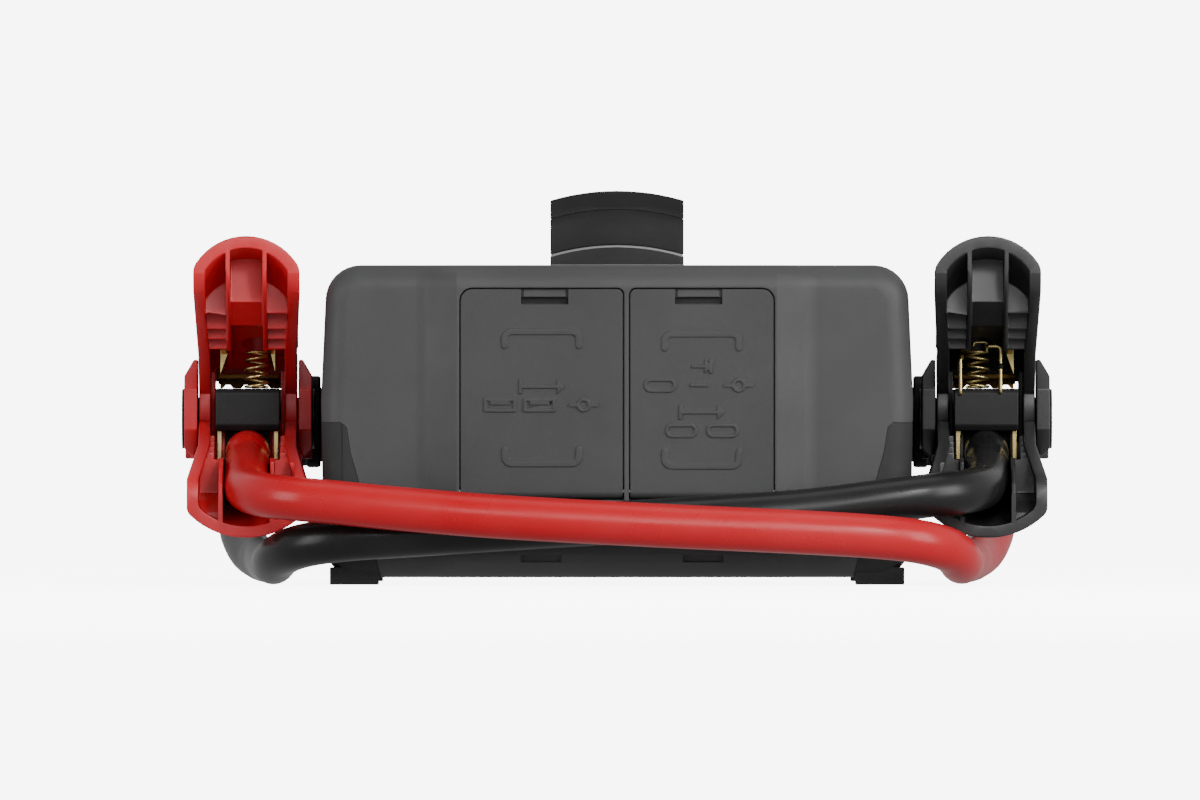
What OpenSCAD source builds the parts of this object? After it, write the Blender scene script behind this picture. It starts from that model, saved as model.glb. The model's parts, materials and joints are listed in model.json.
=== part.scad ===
// Jump starter pack: a battery pack in a bumpered case, with two docked clamps on crossed leads.
// Millimetres. X across, Y from the port end to the lamp end, Z up, the floor at Z = 0.

/* [Case] */
// Width of the case
case_w = 201; // [190:1:220]
// Length of the case from the port face to the lamp face
case_l = 260; // [250:1:290]
// Height of the case without its feet
case_h = 106; // [102:1:116]
// Wall of the case shells
wall = 3; // [2.5:0.1:3.5]
// Radius of the four long corners
corner_r = 12; // [10:0.5:14]
// Radius of the rounded edge round each end face
edge_r = 8; // [6:0.5:9]
// How much narrower the case is at its top than at its widest line
top_draft = 1.5; // [0:0.1:3]
// How much narrower the case is at its bottom than at its widest line
bottom_draft = 0.8; // [0:0.1:3]
// Height of the joint between the upper and lower shells
split_z = 63; // [58:1:66]
// Length of each end cover
cover_l = 30; // [28:1:36]

/* [Port end] */
// Half width of the proud middle of the port face
proud_half = 54.5; // [50:0.5:58]
// Width of each slanted band beside the proud middle
band_w = 14; // [10:0.5:16]
// How far the middle stands proud
proud_d = 7; // [4:0.5:8]
// Height of the doors
door_h = 71.5; // [66:0.5:74]
// Height of the doors' lower edge
door_z = 29.2; // [28:0.2:32]
// Offset of the bar between the doors from the middle
divider_x = 3.2; // [-6:0.2:6]
// Width of the bar between the doors
divider_w = 1.6; // [1.2:0.1:3]
// Thickness of a door
door_t = 3; // [2.4:0.1:4]
// Gap round a door
door_gap = 0.4; // [0.3:0.05:0.6]
// Width of a door's pull notch
notch_w = 16; // [12:0.5:18]
// Height of a door's pull notch
notch_h = 5.6; // [4:0.2:7]
// Diameter of the doors' hinge pins
hinge_pin_d = 2; // [1.6:0.1:2.4]
// Depth of the port bay behind the doors
bay_d = 16; // [14:0.5:20]

/* [Handle] */
// Width of the carrying handle
handle_w = 45.4; // [40:0.2:50]
// Length of the carrying handle
handle_l = 134; // [126:1:140]
// Height of the handle's crown above the case
handle_rise = 25.5; // [22:0.5:34]
// How much the handle's crown rises between its sides
crown = 3.3; // [1:0.1:5]
// Thickness of the handle's grip
grip_t = 15; // [12:0.5:17]
// Depth of the hand recess in the top of the case
recess_d = 20; // [14:0.5:24]
// Width of the hand recess
recess_w = 92; // [80:1:100]

/* [Feet and bumpers] */
// How far the feet stand below the case
foot_h = 2.5; // [2:0.1:4]
// Length of a foot
foot_l = 20; // [18:0.5:26]
// Width of a foot
foot_w = 16.6; // [12:0.2:20]
// Height of the bumpers' upper edge
bumper_z = 55; // [48:0.5:57]
// Thickness of the rubber of a bumper
bumper_t = 3.4; // [3:0.1:4]

/* [Clamps] */
// Distance of each clamp's middle from the side of the case
clamp_out = 25.4; // [25:0.2:30]
// Height of the clamps' pivots
pivot_z = 59.5; // [57:0.5:62]
// Distance of the handle tips from the port face
tip_back = 10; // [8:0.5:16]
// Distance from a handle tip to the pivot
handle_reach = 78; // [74:0.5:84]
// Distance from the pivot to the end of the jaws
jaw_reach = 74; // [70:0.5:84]
// Half width of the upper handle
grip_half = 18; // [17:0.2:19]
// Half width of the lower handle at its tip
lower_half_w = 20.2; // [18:0.2:21]
// Thickness of a handle's side wall
rim_t = 4; // [3:0.2:5]
// Outer radius of the side ears
ear_r = 17; // [15:0.5:18]
// Thickness of a side ear
ear_t = 4.6; // [3.6:0.2:5]
// Gap between an ear and the upper half
ear_gap = 0.5; // [0.3:0.05:0.6]
// Diameter of the pivot pins
pivot_d = 8; // [6:0.5:9]
// Radial clearance of the pivot pins
pin_fit = 0.05; // [0.02:0.01:0.1]
// Thickness of the brass jaw plates
jaw_plate_t = 1.6; // [1.2:0.1:2.4]
// Half width of the brass jaw plates
jaw_half = 10.5; // [9:0.5:11]
// Number of teeth across each jaw
tooth_count = 3; // [2:1:4]
// Wire diameter of the clamp springs
spring_wire = 1.4; // [1:0.1:1.6]
// Outer diameter of the clamp springs
spring_d = 9; // [8:0.5:10]
// Number of curls in a clamp spring
spring_curls = 5; // [4:1:6]

/* [Leads] */
// Diameter of the leads
lead_d = 15; // [13:0.5:15.2]
// Length of a lead's boot
boot_l = 38; // [34:1:44]

/* [Controls] */
// Width of the control panel
panel_w = 122; // [110:1:130]
// Length of the control panel
panel_l = 33; // [30:1:34]
// Diameter of the power and boost buttons
button_d = 15; // [12:0.5:18]
// Diameter of the lamp button
small_button_d = 11; // [8:0.5:14]
// How far a button travels
button_travel = 1.2; // [0.6:0.1:1.6]
// Distance between the middles of the power and boost buttons
button_pitch = 18; // [17.8:0.1:20]
// Width of the display window
display_w = 46; // [36:1:50]
// Width of the lamp lens
lamp_w = 120; // [90:1:130]
// Height of the lamp lens
lamp_h = 38; // [30:1:44]

/* [Inside] */
// Diameter of a battery cell
cell_d = 32; // [26:0.5:33]
// Length of a battery cell
cell_l = 70; // [60:1:74]
// Number of cells in a row
cell_cols = 5; // [3:1:5]
// Thickness of the circuit boards
board_t = 1.6; // [1:0.1:2]

/* [Hidden] */

// Planes of the case
base_z = foot_h;
top_z = base_z + case_h;
front_y = -case_l / 2;
pivot_y = front_y + tip_back + handle_reach;
rear_y = case_l / 2;
set_back_y = front_y + proud_d;
clamp_x = case_w / 2 + clamp_out;
front_joint_y = front_y + cover_l;
rear_joint_y = rear_y - cover_l;

// Shared small values
eps = 0.01;
arc_steps = 8;
skin_gap = 0.3;
screw_r = 1.5;
screw_head_r = 3;
screw_head_h = 2.4;
post_in = 16;

// Colours
case_grey = [0.30, 0.30, 0.31];
door_grey = [0.27, 0.27, 0.28];
rubber_grey = [0.16, 0.16, 0.17];
dark_grey = [0.12, 0.12, 0.13];
red = [0.72, 0.10, 0.12];
black = [0.09, 0.09, 0.10];
brass = [0.78, 0.66, 0.38];
steel = [0.62, 0.63, 0.65];
board_green = [0.10, 0.32, 0.20];

// Doors
opening_half = proud_half - 1;
left_door_x = [-opening_half, divider_x - divider_w / 2];
right_door_x = [divider_x + divider_w / 2, opening_half];
door_top = door_z + door_h;
knuckle_r = 2.4;
mark_out = 0.5;
face_y = front_y + mark_out;
hinge_y = face_y + knuckle_r;
hinge_z = door_z + knuckle_r;
bay_back_y = front_y + door_t + bay_d;
outer_r = 4;
inner_r = 2;
left_door_rs = [outer_r, inner_r];
right_door_rs = [inner_r, outer_r];

// Handle
leg_l = 20;
pedestal_rise = 7;
pedestal_lip = 3;
spare_l = case_l - 2 * cover_l - handle_l - 2 * pedestal_lip - panel_l;
front_share = 0.56;
rear_share = 0.28;
handle_y0 = front_joint_y + spare_l * front_share + pedestal_lip;
handle_y1 = handle_y0 + handle_l;
grip_cover_t = 6.3;
crown_z = top_z + handle_rise;
grip_under_z = crown_z - grip_t;

// Controls
panel_y = rear_joint_y - spare_l * rear_share - panel_l;
panel_t = 2.4;
board_z = top_z - 11;
lamp_z = base_z + 62;
button_flange = 1.4;
button_edge = 4;
button_r = [button_d / 2, button_d / 2, small_button_d / 2];
button_xs = [
    -panel_w / 2 + button_edge + button_flange + button_r[0],
    -panel_w / 2 + button_edge + button_flange + button_r[0] + button_pitch,
    panel_w / 2 - button_edge - button_flange - button_r[2]];

// Sections of the case: points run anticlockwise as seen from the port end
function arc_points(cx, cz, r, a0) =
    [for (i = [0 : arc_steps]) let (a = a0 + 90 * i / arc_steps) [cx + r * cos(a), cz + r * sin(a)]];
function outline(off, xs = []) = let (
    r = corner_r + off,
    tx = case_w / 2 - top_draft - corner_r,
    bx = case_w / 2 - bottom_draft - corner_r,
    n = len(xs))
    concat(
        [for (x = xs) [x, base_z - off]],
        arc_points(bx, base_z + corner_r, r, -90),
        [[case_w / 2 + off, split_z]],
        arc_points(tx, top_z - corner_r, r, 0),
        [for (i = [n - 1 : -1 : 0]) [xs[i], top_z + off]],
        arc_points(-tx, top_z - corner_r, r, 90),
        [[-case_w / 2 - off, split_z]],
        arc_points(-bx, base_z + corner_r, r, 180));

// Front outline of a door with rounded upper corners, rs at x[0] and x[1]
function door_outline(x, z, rs) = concat(
    [[x[0], z[0]], [x[1], z[0]]],
    arc_points(x[1] - rs[1], z[1] - rs[1], rs[1], 0),
    arc_points(x[0] + rs[0], z[1] - rs[0], rs[0], 90));

// The slanted bands: a soft foot, then a straight slope up to the proud middle
band_foot = 0.4;
band_ts = [0, 0.1, 0.2, 0.3, 0.4, 1];
function band_rise(t) =
    (t < band_foot ? t * t / (2 * band_foot) : t - band_foot / 2) / (1 - band_foot / 2);
function relief(x) = let (t = (proud_half + band_w - abs(x)) / band_w)
    t <= 0 ? 0 : t >= 1 ? 1 : band_rise(t);
band_xs = concat(
    [for (t = band_ts) -(proud_half + band_w) + t * band_w],
    [for (i = [len(band_ts) - 1 : -1 : 0]) proud_half + band_w - band_ts[i] * band_w]);

module extrude_y(y0, y1) {
    translate([0, y1, 0]) rotate([90, 0, 0]) linear_extrude(y1 - y0) children();
}

module extrude_x(x0, x1) {
    translate([x0, 0, 0]) rotate([90, 0, 90]) linear_extrude(x1 - x0) children();
}

module box(x, y, z) {
    translate([x[0], y[0], z[0]]) cube([x[1] - x[0], y[1] - y[0], z[1] - z[0]]);
}

module rod_x(x0, x1, y, z, r) {
    translate([x0, y, z]) rotate([0, 90, 0]) cylinder(h = x1 - x0, r = r, $fn = 48);
}

module rod_y(y0, y1, x, z, r) {
    translate([x, y0, z]) rotate([-90, 0, 0]) cylinder(h = y1 - y0, r = r, $fn = 48);
}

module rod_z(z0, z1, x, y, r) {
    translate([x, y, z0]) cylinder(h = z1 - z0, r = r, $fn = 48);
}

// A plate with rounded corners, drawn in X and Z
module rounded_rect(x, z, r) {
    polygon(concat(
        arc_points(x[1] - r, z[0] + r, r, -90), arc_points(x[1] - r, z[1] - r, r, 0),
        arc_points(x[0] + r, z[1] - r, r, 90), arc_points(x[0] + r, z[0] + r, r, 180)));
}

// Faces that close a ring of m points from index a: upright strips between the n top and bottom
// points, and one face at each rounded side
function cap_faces(a, n, side, m) = concat(
    [for (i = [0 : n - 2]) let (t = 2 * n - 2 - i + side) [a + i, a + t + 1, a + t, a + i + 1]],
    [[for (i = [n + side : -1 : n - 1]) a + i]],
    [[for (i = [0 : side + 1]) a + (i == 0 ? 0 : m - i)]]);

// One end of the case: its face at y = 0 looks to -Y, its joint lies at y = depth,
// its edge is rounded all round, and its middle stands proud by rise.
module end_form(depth, rise) {
    xs = band_xs;
    n = len(xs);
    m = len(outline(0, xs));
    side = arc_steps * 2 + 3;
    rings = concat([[0, depth]],
        [for (k = [0 : arc_steps]) let (a = 90 * k / arc_steps)
            [-edge_r * (1 - cos(a)), edge_r * (1 - sin(a))]]);
    ring_count = len(rings);
    points = [for (k = [0 : ring_count - 1]) for (p = outline(rings[k][0], xs))
        [p[0], k == 0 ? depth : rings[k][1] - rise * relief(p[0]), p[1]]];
    last = (ring_count - 1) * m;
    walls = [for (k = [0 : ring_count - 2]) for (i = [0 : m - 1]) let (j = (i + 1) % m, a = k * m,
        b = a + m)
        each [[a + i, b + i, b + j], [a + i, b + j, a + j]]];
    front = cap_faces(last, n, side, m);
    back = [for (f = cap_faces(0, n, side, m)) [for (i = [len(f) - 1 : -1 : 0]) f[i]]];
    polyhedron(points, concat(walls, back, front), convexity = 6);
}

// Region of a lower corner that a rubber bumper covers; side is -1 left or 1 right
bumper_foot_in = 20.5;
module bumper_region(side, y0, y1) {
    ins = [[-5, 0], [7, 0], [8.7, 1.6], [10, 10], [12.8, 20]];
    extrude_y(y0, y1) polygon(concat(
        [for (p = ins) [side * (case_w / 2 - p[0]), bumper_z - p[1]]],
        [[side * (case_w / 2 - bumper_foot_in), base_z - 1], [side * (case_w / 2 + 5), base_z - 1]]));
}

// Core of the case behind a bumper
module bumper_core(side, y0, y1) {
    x_in = case_w / 2 - bumper_t - bottom_draft;
    extrude_y(y0, y1) polygon([
        [0, base_z + bumper_t], [side * (x_in - corner_r), base_z + bumper_t],
        [side * x_in, base_z + bumper_t + corner_r], [side * x_in, bumper_z + 5], [0, bumper_z + 5]]);
}

module front_form() {
    translate([0, set_back_y, 0]) end_form(front_joint_y - set_back_y, proud_d);
}

module rear_form() {
    mirror([0, 1, 0]) translate([0, -rear_y, 0]) end_form(cover_l, 0);
}

core_back = edge_r + 1;

module bumpers_cut(y_face, y_joint) {
    for (side = [-1, 1]) difference() {
        bumper_region(side, min(y_face, y_joint) - 1, max(y_face, y_joint) + 1);
        bumper_core(side, min(y_face + core_back, y_joint - 2), max(y_face - core_back, y_joint + 2));
    }
}

// Square post in a long corner of the case, bored for a case screw
screw_x = case_w / 2 - 11.5;
screw_zs = [base_z + 14, top_z - 12];
module screw_post(sx, z, y0, y1) {
    side = sx < 0 ? -1 : 1;
    intersection() {
        extrude_y(y0, y1) polygon(outline(-wall / 2));
        translate([side < 0 ? -case_w / 2 : case_w / 2 - post_in, y0 - 1,
            z > split_z ? top_z - post_in : base_z])
            cube([post_in, y1 - y0 + 2, post_in]);
    }
}

module screw_bores(y0, y1, r) {
    for (sx = [-1, 1], z = screw_zs) rod_y(y0, y1, sx * screw_x, z, r);
}

// Port bay: a tub behind each door with a ledge round it
ledge = 2.4;
module door_opening(x, rs) {
    extrude_y(front_y - 1, front_y + door_t + skin_gap)
        polygon(door_outline(x, [door_z, door_top], rs + [door_gap, door_gap]));
    rod_x(x[0], x[1], hinge_y, hinge_z, knuckle_r + door_gap);
    box(x, [front_y - 1, hinge_y], [door_z - door_gap, hinge_z]);
    box([x[0] + ledge, x[1] - ledge], [front_y, bay_back_y],
        [door_z + 2 * knuckle_r + ledge, door_top - ledge]);
}

slot_w = 13.6;
slot_zs = [7.8, 10.2];
slot_xs = [-25.8, 29.2];

module front_cover() {
    tub_wall = 2;
    color(case_grey) difference() {
        front_form();
        difference() {
            extrude_y(set_back_y + core_back, front_joint_y + 1) polygon(outline(-wall));
            box([-opening_half - tub_wall - 1, opening_half + tub_wall + 1],
                [front_y, bay_back_y + board_t + tub_wall], [door_z - 4, door_top + tub_wall]);
            for (side = [-1, 1]) bumper_backing(side, set_back_y, front_joint_y);
            for (sx = [-1, 1], z = screw_zs)
                screw_post(sx, z, set_back_y, front_joint_y);
        }
        door_opening(left_door_x, left_door_rs);
        door_opening(right_door_x, right_door_rs);
        box([-opening_half + ledge, opening_half - ledge],
            [bay_back_y - panel_plate_t, bay_back_y + board_t + tub_wall + 1],
            [door_z + 2 * knuckle_r + ledge, door_top - ledge]);
        rod_x(-opening_half - 2.5, opening_half + 2.5, hinge_y, hinge_z, hinge_pin_d / 2 + pin_fit);
        for (x = slot_xs) box([x - slot_w / 2, x + slot_w / 2], [front_y - 1, front_y + 1.6], slot_zs);
        bumpers_cut(set_back_y, front_joint_y);
        screw_bores(front_joint_y - 14, front_joint_y + 1, screw_r - 0.2);
    }
}

// Wall of the case behind a bumper
module bumper_backing(side, y0, y1) {
    difference() {
        bumper_core(side, y0, y1);
        extrude_y(y0 - 1, y1 + 1) polygon([
            [0, base_z + bumper_t + wall], [side * (case_w / 2 - bumper_t - wall - corner_r),
                base_z + bumper_t + wall],
            [side * (case_w / 2 - bumper_t - wall - bottom_draft), base_z + bumper_t + wall + corner_r],
            [side * (case_w / 2 - bumper_t - wall - bottom_draft), bumper_z + 6], [0, bumper_z + 6]]);
        box([side < 0 ? -case_w / 2 + bumper_foot_in + 2 : -1,
            side < 0 ? 1 : case_w / 2 - bumper_foot_in - 2],
            [y0 - 1, y1 + 1], [base_z - 1, bumper_z + 6]);
    }
}

module rear_cover() {
    color(case_grey) difference() {
        rear_form();
        difference() {
            extrude_y(rear_joint_y - 1, rear_y - core_back) polygon(outline(-wall));
            for (side = [-1, 1]) bumper_backing(side, rear_joint_y, rear_y);
            for (sx = [-1, 1], z = screw_zs) screw_post(sx, z, rear_joint_y, rear_y);
        }
        lamp_pocket();
        bumpers_cut(rear_y, rear_joint_y);
        screw_bores(rear_joint_y - 1, rear_y + 1, screw_r + 0.2);
        screw_bores(rear_y - screw_head_h - 1, rear_y + 1, screw_head_r + 0.3);
    }
}

// Lamp: the lens fills a pocket, the reflector passes through the wall behind it
lens_t = 3;
lens_lip = 3;
module lamp_pocket() {
    extrude_y(rear_y - lens_t, rear_y + 1)
        rounded_rect([-lamp_w / 2, lamp_w / 2], [lamp_z - lamp_h / 2, lamp_z + lamp_h / 2], 8);
    box([-lamp_w / 2 + lens_lip, lamp_w / 2 - lens_lip], [rear_y - core_back - 2, rear_y],
        [lamp_z - lamp_h / 2 + lens_lip, lamp_z + lamp_h / 2 - lens_lip]);
}

// One rubber bumper with its foot; front is true at the port end
module bumper(side, front) {
    y_face = front ? set_back_y : rear_y;
    y_joint = front ? front_joint_y : rear_joint_y;
    y0 = min(y_face, y_joint);
    y1 = max(y_face, y_joint);
    foot_x = case_w / 2 - 3;
    foot_y = front ? [front_joint_y - foot_l, front_joint_y] : [rear_joint_y, rear_joint_y + foot_l];
    color(rubber_grey) {
        difference() {
            intersection() {
                if (front) front_form();
                else rear_form();
                bumper_region(side, y0, y1);
            }
            bumper_core(side, front ? y0 + core_back : y0 - 2, front ? y1 + 2 : y1 - core_back);
            screw_bores(rear_y - screw_head_h - 1, rear_y + 1, screw_head_r + 0.3);
            screw_bores(y0 - 1, y1 + 1, screw_r + 0.2);
        }
        extrude_x(side < 0 ? -foot_x : foot_x - foot_w, side < 0 ? -foot_x + foot_w : foot_x)
            polygon([[foot_y[0] + 1, 0], [foot_y[1] - 1, 0],
                [foot_y[1], base_z + bumper_t], [foot_y[0], base_z + bumper_t]]);
    }
}

module front_left_bumper() { bumper(-1, true); }
module front_right_bumper() { bumper(1, true); }
module rear_left_bumper() { bumper(-1, false); }
module rear_right_bumper() { bumper(1, false); }

// Hand recess under the handle, widened all round by off
recess_y = [handle_y0 + leg_l + 3, handle_y1 - leg_l - 3];
recess_slope = 7;
module hand_recess(off) {
    extrude_x(-recess_w / 2 - off, recess_w / 2 + off) polygon([
        [recess_y[0] - off, top_z + 1], [recess_y[0] + recess_slope - off, top_z - recess_d - off],
        [recess_y[1] - recess_slope + off, top_z - recess_d - off], [recess_y[1] + off, top_z + 1]]);
}

// Side wall openings for the dock necks and the boots
dock_y = [pivot_y + 34, pivot_y + 64];
neck_z = [44.3, 66.6];
neck_y = [dock_y[0] + 5, dock_y[1] - 5];
plate_z = [39.6, 71];
boot_out = 0.55;
boot_back = -0.80;
boot_down = -0.22;
boot_base = [case_w / 2 - 4, 100, 55];

module dock_holes() {
    for (side = [-1, 1])
        box(side < 0 ? [-case_w / 2 - 2, -case_w / 2 + 6] : [case_w / 2 - 6, case_w / 2 + 2],
            neck_y, neck_z);
}

module mid_shell(z) {
    difference() {
        extrude_y(front_joint_y, rear_joint_y) difference() {
            polygon(outline(0));
            polygon(outline(-wall));
        }
        box([-case_w, case_w], [front_joint_y - 1, rear_joint_y + 1], z);
        dock_holes();
    }
}

post_len = 18;
module screw_posts(top) {
    for (sx = [-1, 1], y0 = [front_joint_y, rear_joint_y - post_len])
        difference() {
            screw_post(sx, screw_zs[top ? 1 : 0], y0, y0 + post_len);
            rod_y(y0 - 1, y0 + post_len + 1, sx * screw_x, screw_zs[top ? 1 : 0], screw_r - 0.2);
        }
}

// Arc across the crown of the handle, at height z in the middle
crown_r = (pow(handle_w / 2, 2) + pow(crown, 2)) / (2 * crown);
crown_steps = 12;
function crown_arc(z) = [for (i = [0 : crown_steps])
    let (x = handle_w / 2 * (1 - 2 * i / crown_steps))
    [x, z - crown_r + sqrt(pow(crown_r, 2) - pow(x, 2))]];
module under_crown(z, z_low) {
    polygon(concat(crown_arc(z), [[-handle_w / 2, z_low], [handle_w / 2, z_low]]));
}

pedestal_z = top_z + pedestal_rise;
pedestal_ys = [[handle_y0 - pedestal_lip, handle_y0 + leg_l],
    [handle_y1 - leg_l, handle_y1 + pedestal_lip]];
handle_screw_ys = [handle_y0 + leg_l / 2, handle_y1 - leg_l / 2];
handle_screw_x = 13;

module upper_case() {
    color(case_grey) difference() {
        union() {
            difference() {
                union() {
                    mid_shell([-1, split_z]);
                    intersection() {
                        hand_recess(wall);
                        extrude_y(front_joint_y, rear_joint_y) polygon(outline(-1));
                    }
                }
                hand_recess(0);
            }
            for (y = pedestal_ys) extrude_y(y[0], y[1]) under_crown(pedestal_z, top_z - 1);
            screw_posts(true);
        }
        for (y = handle_screw_ys, x = [-handle_screw_x, handle_screw_x])
            rod_z(top_z - wall - 1, crown_z, x, y, screw_r + 0.1);
        box([-panel_w / 2, panel_w / 2], [panel_y, panel_y + panel_l], [top_z - panel_t, top_z + 1]);
        box([-panel_w / 2 + 3, panel_w / 2 - 3], [panel_y + 3, panel_y + panel_l - 3],
            [top_z - wall - 1, top_z + 1]);
    }
}

module lower_case() {
    rib_h = 5;
    color(case_grey) {
        mid_shell([split_z, top_z + 1]);
        screw_posts(false);
        for (y = [-70, -10, 50]) box([-78, 78], [y, y + 2], [base_z + wall - 0.5, base_z + rib_h]);
    }
}

// Side outline of the whole handle, down to the case
module handle_side() {
    hole_y0 = handle_y0 + leg_l;
    hole_y1 = handle_y1 - leg_l;
    polygon([
        [handle_y0, top_z], [handle_y0 + 1.5, top_z + 13], [handle_y0 + 5, crown_z - 5],
        [handle_y0 + 10, crown_z - 1], [handle_y0 + 15, crown_z + 1],
        [handle_y1 - 15, crown_z + 1], [handle_y1 - 10, crown_z - 1], [handle_y1 - 5, crown_z - 5],
        [handle_y1 - 1.5, top_z + 13], [handle_y1, top_z], [hole_y1, top_z], [hole_y1 - 1, top_z + 8],
        [hole_y1 - 4, grip_under_z - 1], [hole_y1 - 9, grip_under_z],
        [hole_y0 + 9, grip_under_z], [hole_y0 + 4, grip_under_z - 1], [hole_y0 + 1, top_z + 8],
        [hole_y0, top_z]]);
}

module handle_core() {
    color(dark_grey) difference() {
        intersection() {
            extrude_x(-handle_w / 2, handle_w / 2) handle_side();
            extrude_y(handle_y0 - 1, handle_y1 + 1) under_crown(crown_z - grip_cover_t, top_z);
        }
        for (y = pedestal_ys) extrude_y(y[0] - 1, y[1] + 1) under_crown(pedestal_z, top_z - 1);
        for (y = handle_screw_ys, x = [-handle_screw_x, handle_screw_x])
            rod_z(top_z, crown_z - grip_cover_t - 2, x, y, screw_r - 0.2);
    }
}

module handle_grip() {
    color(dark_grey) intersection() {
        extrude_x(-handle_w / 2, handle_w / 2) handle_side();
        extrude_y(handle_y0 - 1, handle_y1 + 1) difference() {
            under_crown(crown_z, top_z);
            under_crown(crown_z - grip_cover_t, top_z - 1);
        }
    }
}

module handle_screws() {
    color(steel) for (y = handle_screw_ys, x = [-handle_screw_x, handle_screw_x]) {
        rod_z(top_z - wall - 2, pedestal_z + 4, x, y, screw_r - 0.2);
        rod_z(top_z - wall - 4, top_z - wall, x, y, screw_head_r);
    }
}

module case_screws() {
    color(steel) for (sx = [-1, 1], z = screw_zs) difference() {
        union() {
            rod_y(rear_joint_y - post_len + 2, rear_y - screw_head_h, sx * screw_x, z, screw_r - 0.2);
            rod_y(rear_y - screw_head_h - eps, rear_y - 0.3, sx * screw_x, z, screw_head_r);
        }
        translate([sx * screw_x, rear_y, z]) rotate([90, 0, 0]) cylinder(h = 1.6, r = 1.4, $fn = 6);
    }
    color(steel) for (sx = [-1, 1], z = screw_zs) {
        rod_y(front_joint_y - 12, front_joint_y + post_len + eps, sx * screw_x, z, screw_r - 0.2);
        rod_y(front_joint_y + post_len, front_joint_y + post_len + screw_head_h, sx * screw_x, z,
            screw_head_r);
    }
}

// Dock for a clamp: neck through the side wall, plate outside, retaining plate inside
spigot_r = 6;
spigot_l = 3;
plate_t = 4.7;
plate_gap = 1.2;
module dock() {
    x0 = case_w / 2;
    color(dark_grey) {
        box([x0 - wall - 3, x0 + plate_gap + eps], [neck_y[0] + 0.1, neck_y[1] - 0.1],
            [neck_z[0] + 0.1, neck_z[1] - 0.1]);
        box([x0 - wall - 4, x0 - wall - 1.2], [neck_y[0] - 2, neck_y[1] + 2],
            [neck_z[0] - 2, neck_z[1] + 2]);
        extrude_x(x0 + plate_gap, x0 + plate_gap + plate_t) rounded_rect(dock_y, plate_z, 3);
        rod_x(x0 + plate_gap + plate_t - eps, x0 + plate_gap + plate_t + spigot_l,
            (dock_y[0] + dock_y[1]) / 2, (plate_z[0] + plate_z[1]) / 2, spigot_r);
    }
}

module left_dock() { mirror([1, 0, 0]) dock(); }
module right_dock() { dock(); }

// Boot of a lead: a tapered sleeve leaning forwards out of the side wall
function unit(v) = v / norm(v);
boot_dir = unit([boot_out, boot_back, boot_down]);
boot_end = boot_base + boot_dir * boot_l;
boot_root_r = 11;
boot_grooves = 5;
module along_boot() {
    turn = atan2(boot_dir[1], boot_dir[0]);
    lean = acos(boot_dir[2]);
    translate(boot_base) rotate([0, 0, turn]) rotate([0, lean, 0]) children();
}

module boot() {
    tip_r = lead_d / 2 + 1.6;
    color(rubber_grey) difference() {
        along_boot() rotate_extrude($fn = 48) polygon(concat(
            [[0, 0], [boot_root_r + 1.5, 0], [boot_root_r + 1.5, 8]],
            [for (i = [0 : boot_grooves - 1]) let (z = 10 + i * 5.4, r = boot_root_r - i * 0.45)
                each [[r, z], [r, z + 3.2], [r - 1.2, z + 3.4], [r - 1.2, z + 5.2]]],
            [[tip_r, boot_l], [0, boot_l]]));
        box([0, case_w / 2], [0, rear_y], [0, top_z]);
    }
}

// Port panel and the sockets behind each door
panel_plate_t = 2;
panel_x = [-opening_half + ledge, opening_half - ledge];
panel_z = [door_z + 2 * knuckle_r + ledge, door_top - ledge];
plate_y = bay_back_y - panel_plate_t;
port_z = (panel_z[0] + panel_z[1]) / 2;
left_x = (left_door_x[0] + left_door_x[1]) / 2;
right_x = (right_door_x[0] + right_door_x[1]) / 2;
usb_a = [13.2, 5.8];
usb_c = [9, 3.4];
dc_d = 12;
socket_l = 12;
socket_out = 3;
fit = 0.1;
usb_a_at = [[left_x - 11, port_z + 16], [left_x + 11, port_z + 16]];
usb_c_at = [[right_x - 11, port_z + 16], [right_x + 11, port_z + 16]];
dc_at = [[left_x, port_z - 8], [right_x, port_z - 8]];

module port_panel() {
    color(dark_grey) difference() {
        union() {
            box([panel_x[0] + fit, panel_x[1] - fit], [plate_y, bay_back_y],
                [panel_z[0] + fit, panel_z[1] - fit]);
            for (p = dc_at) rod_y(plate_y - 1.5, plate_y + eps, p[0], p[1], dc_d / 2 + 3);
        }
        for (p = usb_a_at) box([p[0] - usb_a[0] / 2 - fit, p[0] + usb_a[0] / 2 + fit],
            [plate_y - 1, bay_back_y + 1], [p[1] - usb_a[1] / 2 - fit, p[1] + usb_a[1] / 2 + fit]);
        for (p = usb_c_at) extrude_y(plate_y - 1, bay_back_y + 1) rounded_rect(
            [p[0] - usb_c[0] / 2 - fit, p[0] + usb_c[0] / 2 + fit],
            [p[1] - usb_c[1] / 2 - fit, p[1] + usb_c[1] / 2 + fit], usb_c[1] / 2);
        for (p = dc_at) rod_y(plate_y - 3, bay_back_y + 1, p[0], p[1], dc_d / 2 + fit);
    }
}

module port_board() {
    color(board_green)
        box([panel_x[0] + 1, panel_x[1] - 1], [plate_y + socket_l - socket_out,
            plate_y + socket_l - socket_out + board_t],
            [panel_z[0] + 1, panel_z[1] - 1]);
}

socket_y = [plate_y - 0.5, plate_y + socket_l - socket_out];
module usb_a_sockets() {
    shell = 0.4;
    for (p = usb_a_at) {
        color(steel) difference() {
            box([p[0] - usb_a[0] / 2, p[0] + usb_a[0] / 2], socket_y,
                [p[1] - usb_a[1] / 2, p[1] + usb_a[1] / 2]);
            box([p[0] - usb_a[0] / 2 + shell, p[0] + usb_a[0] / 2 - shell],
                [socket_y[0] - 1, socket_y[1] - 1],
                    [p[1] - usb_a[1] / 2 + shell, p[1] + usb_a[1] / 2 - shell]);
        }
        color(dark_grey) box([p[0] - 5.6, p[0] + 5.6], [socket_y[0] + 1, socket_y[1] - 0.5],
            [p[1] + 0.2, p[1] + 2]);
    }
}

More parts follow.
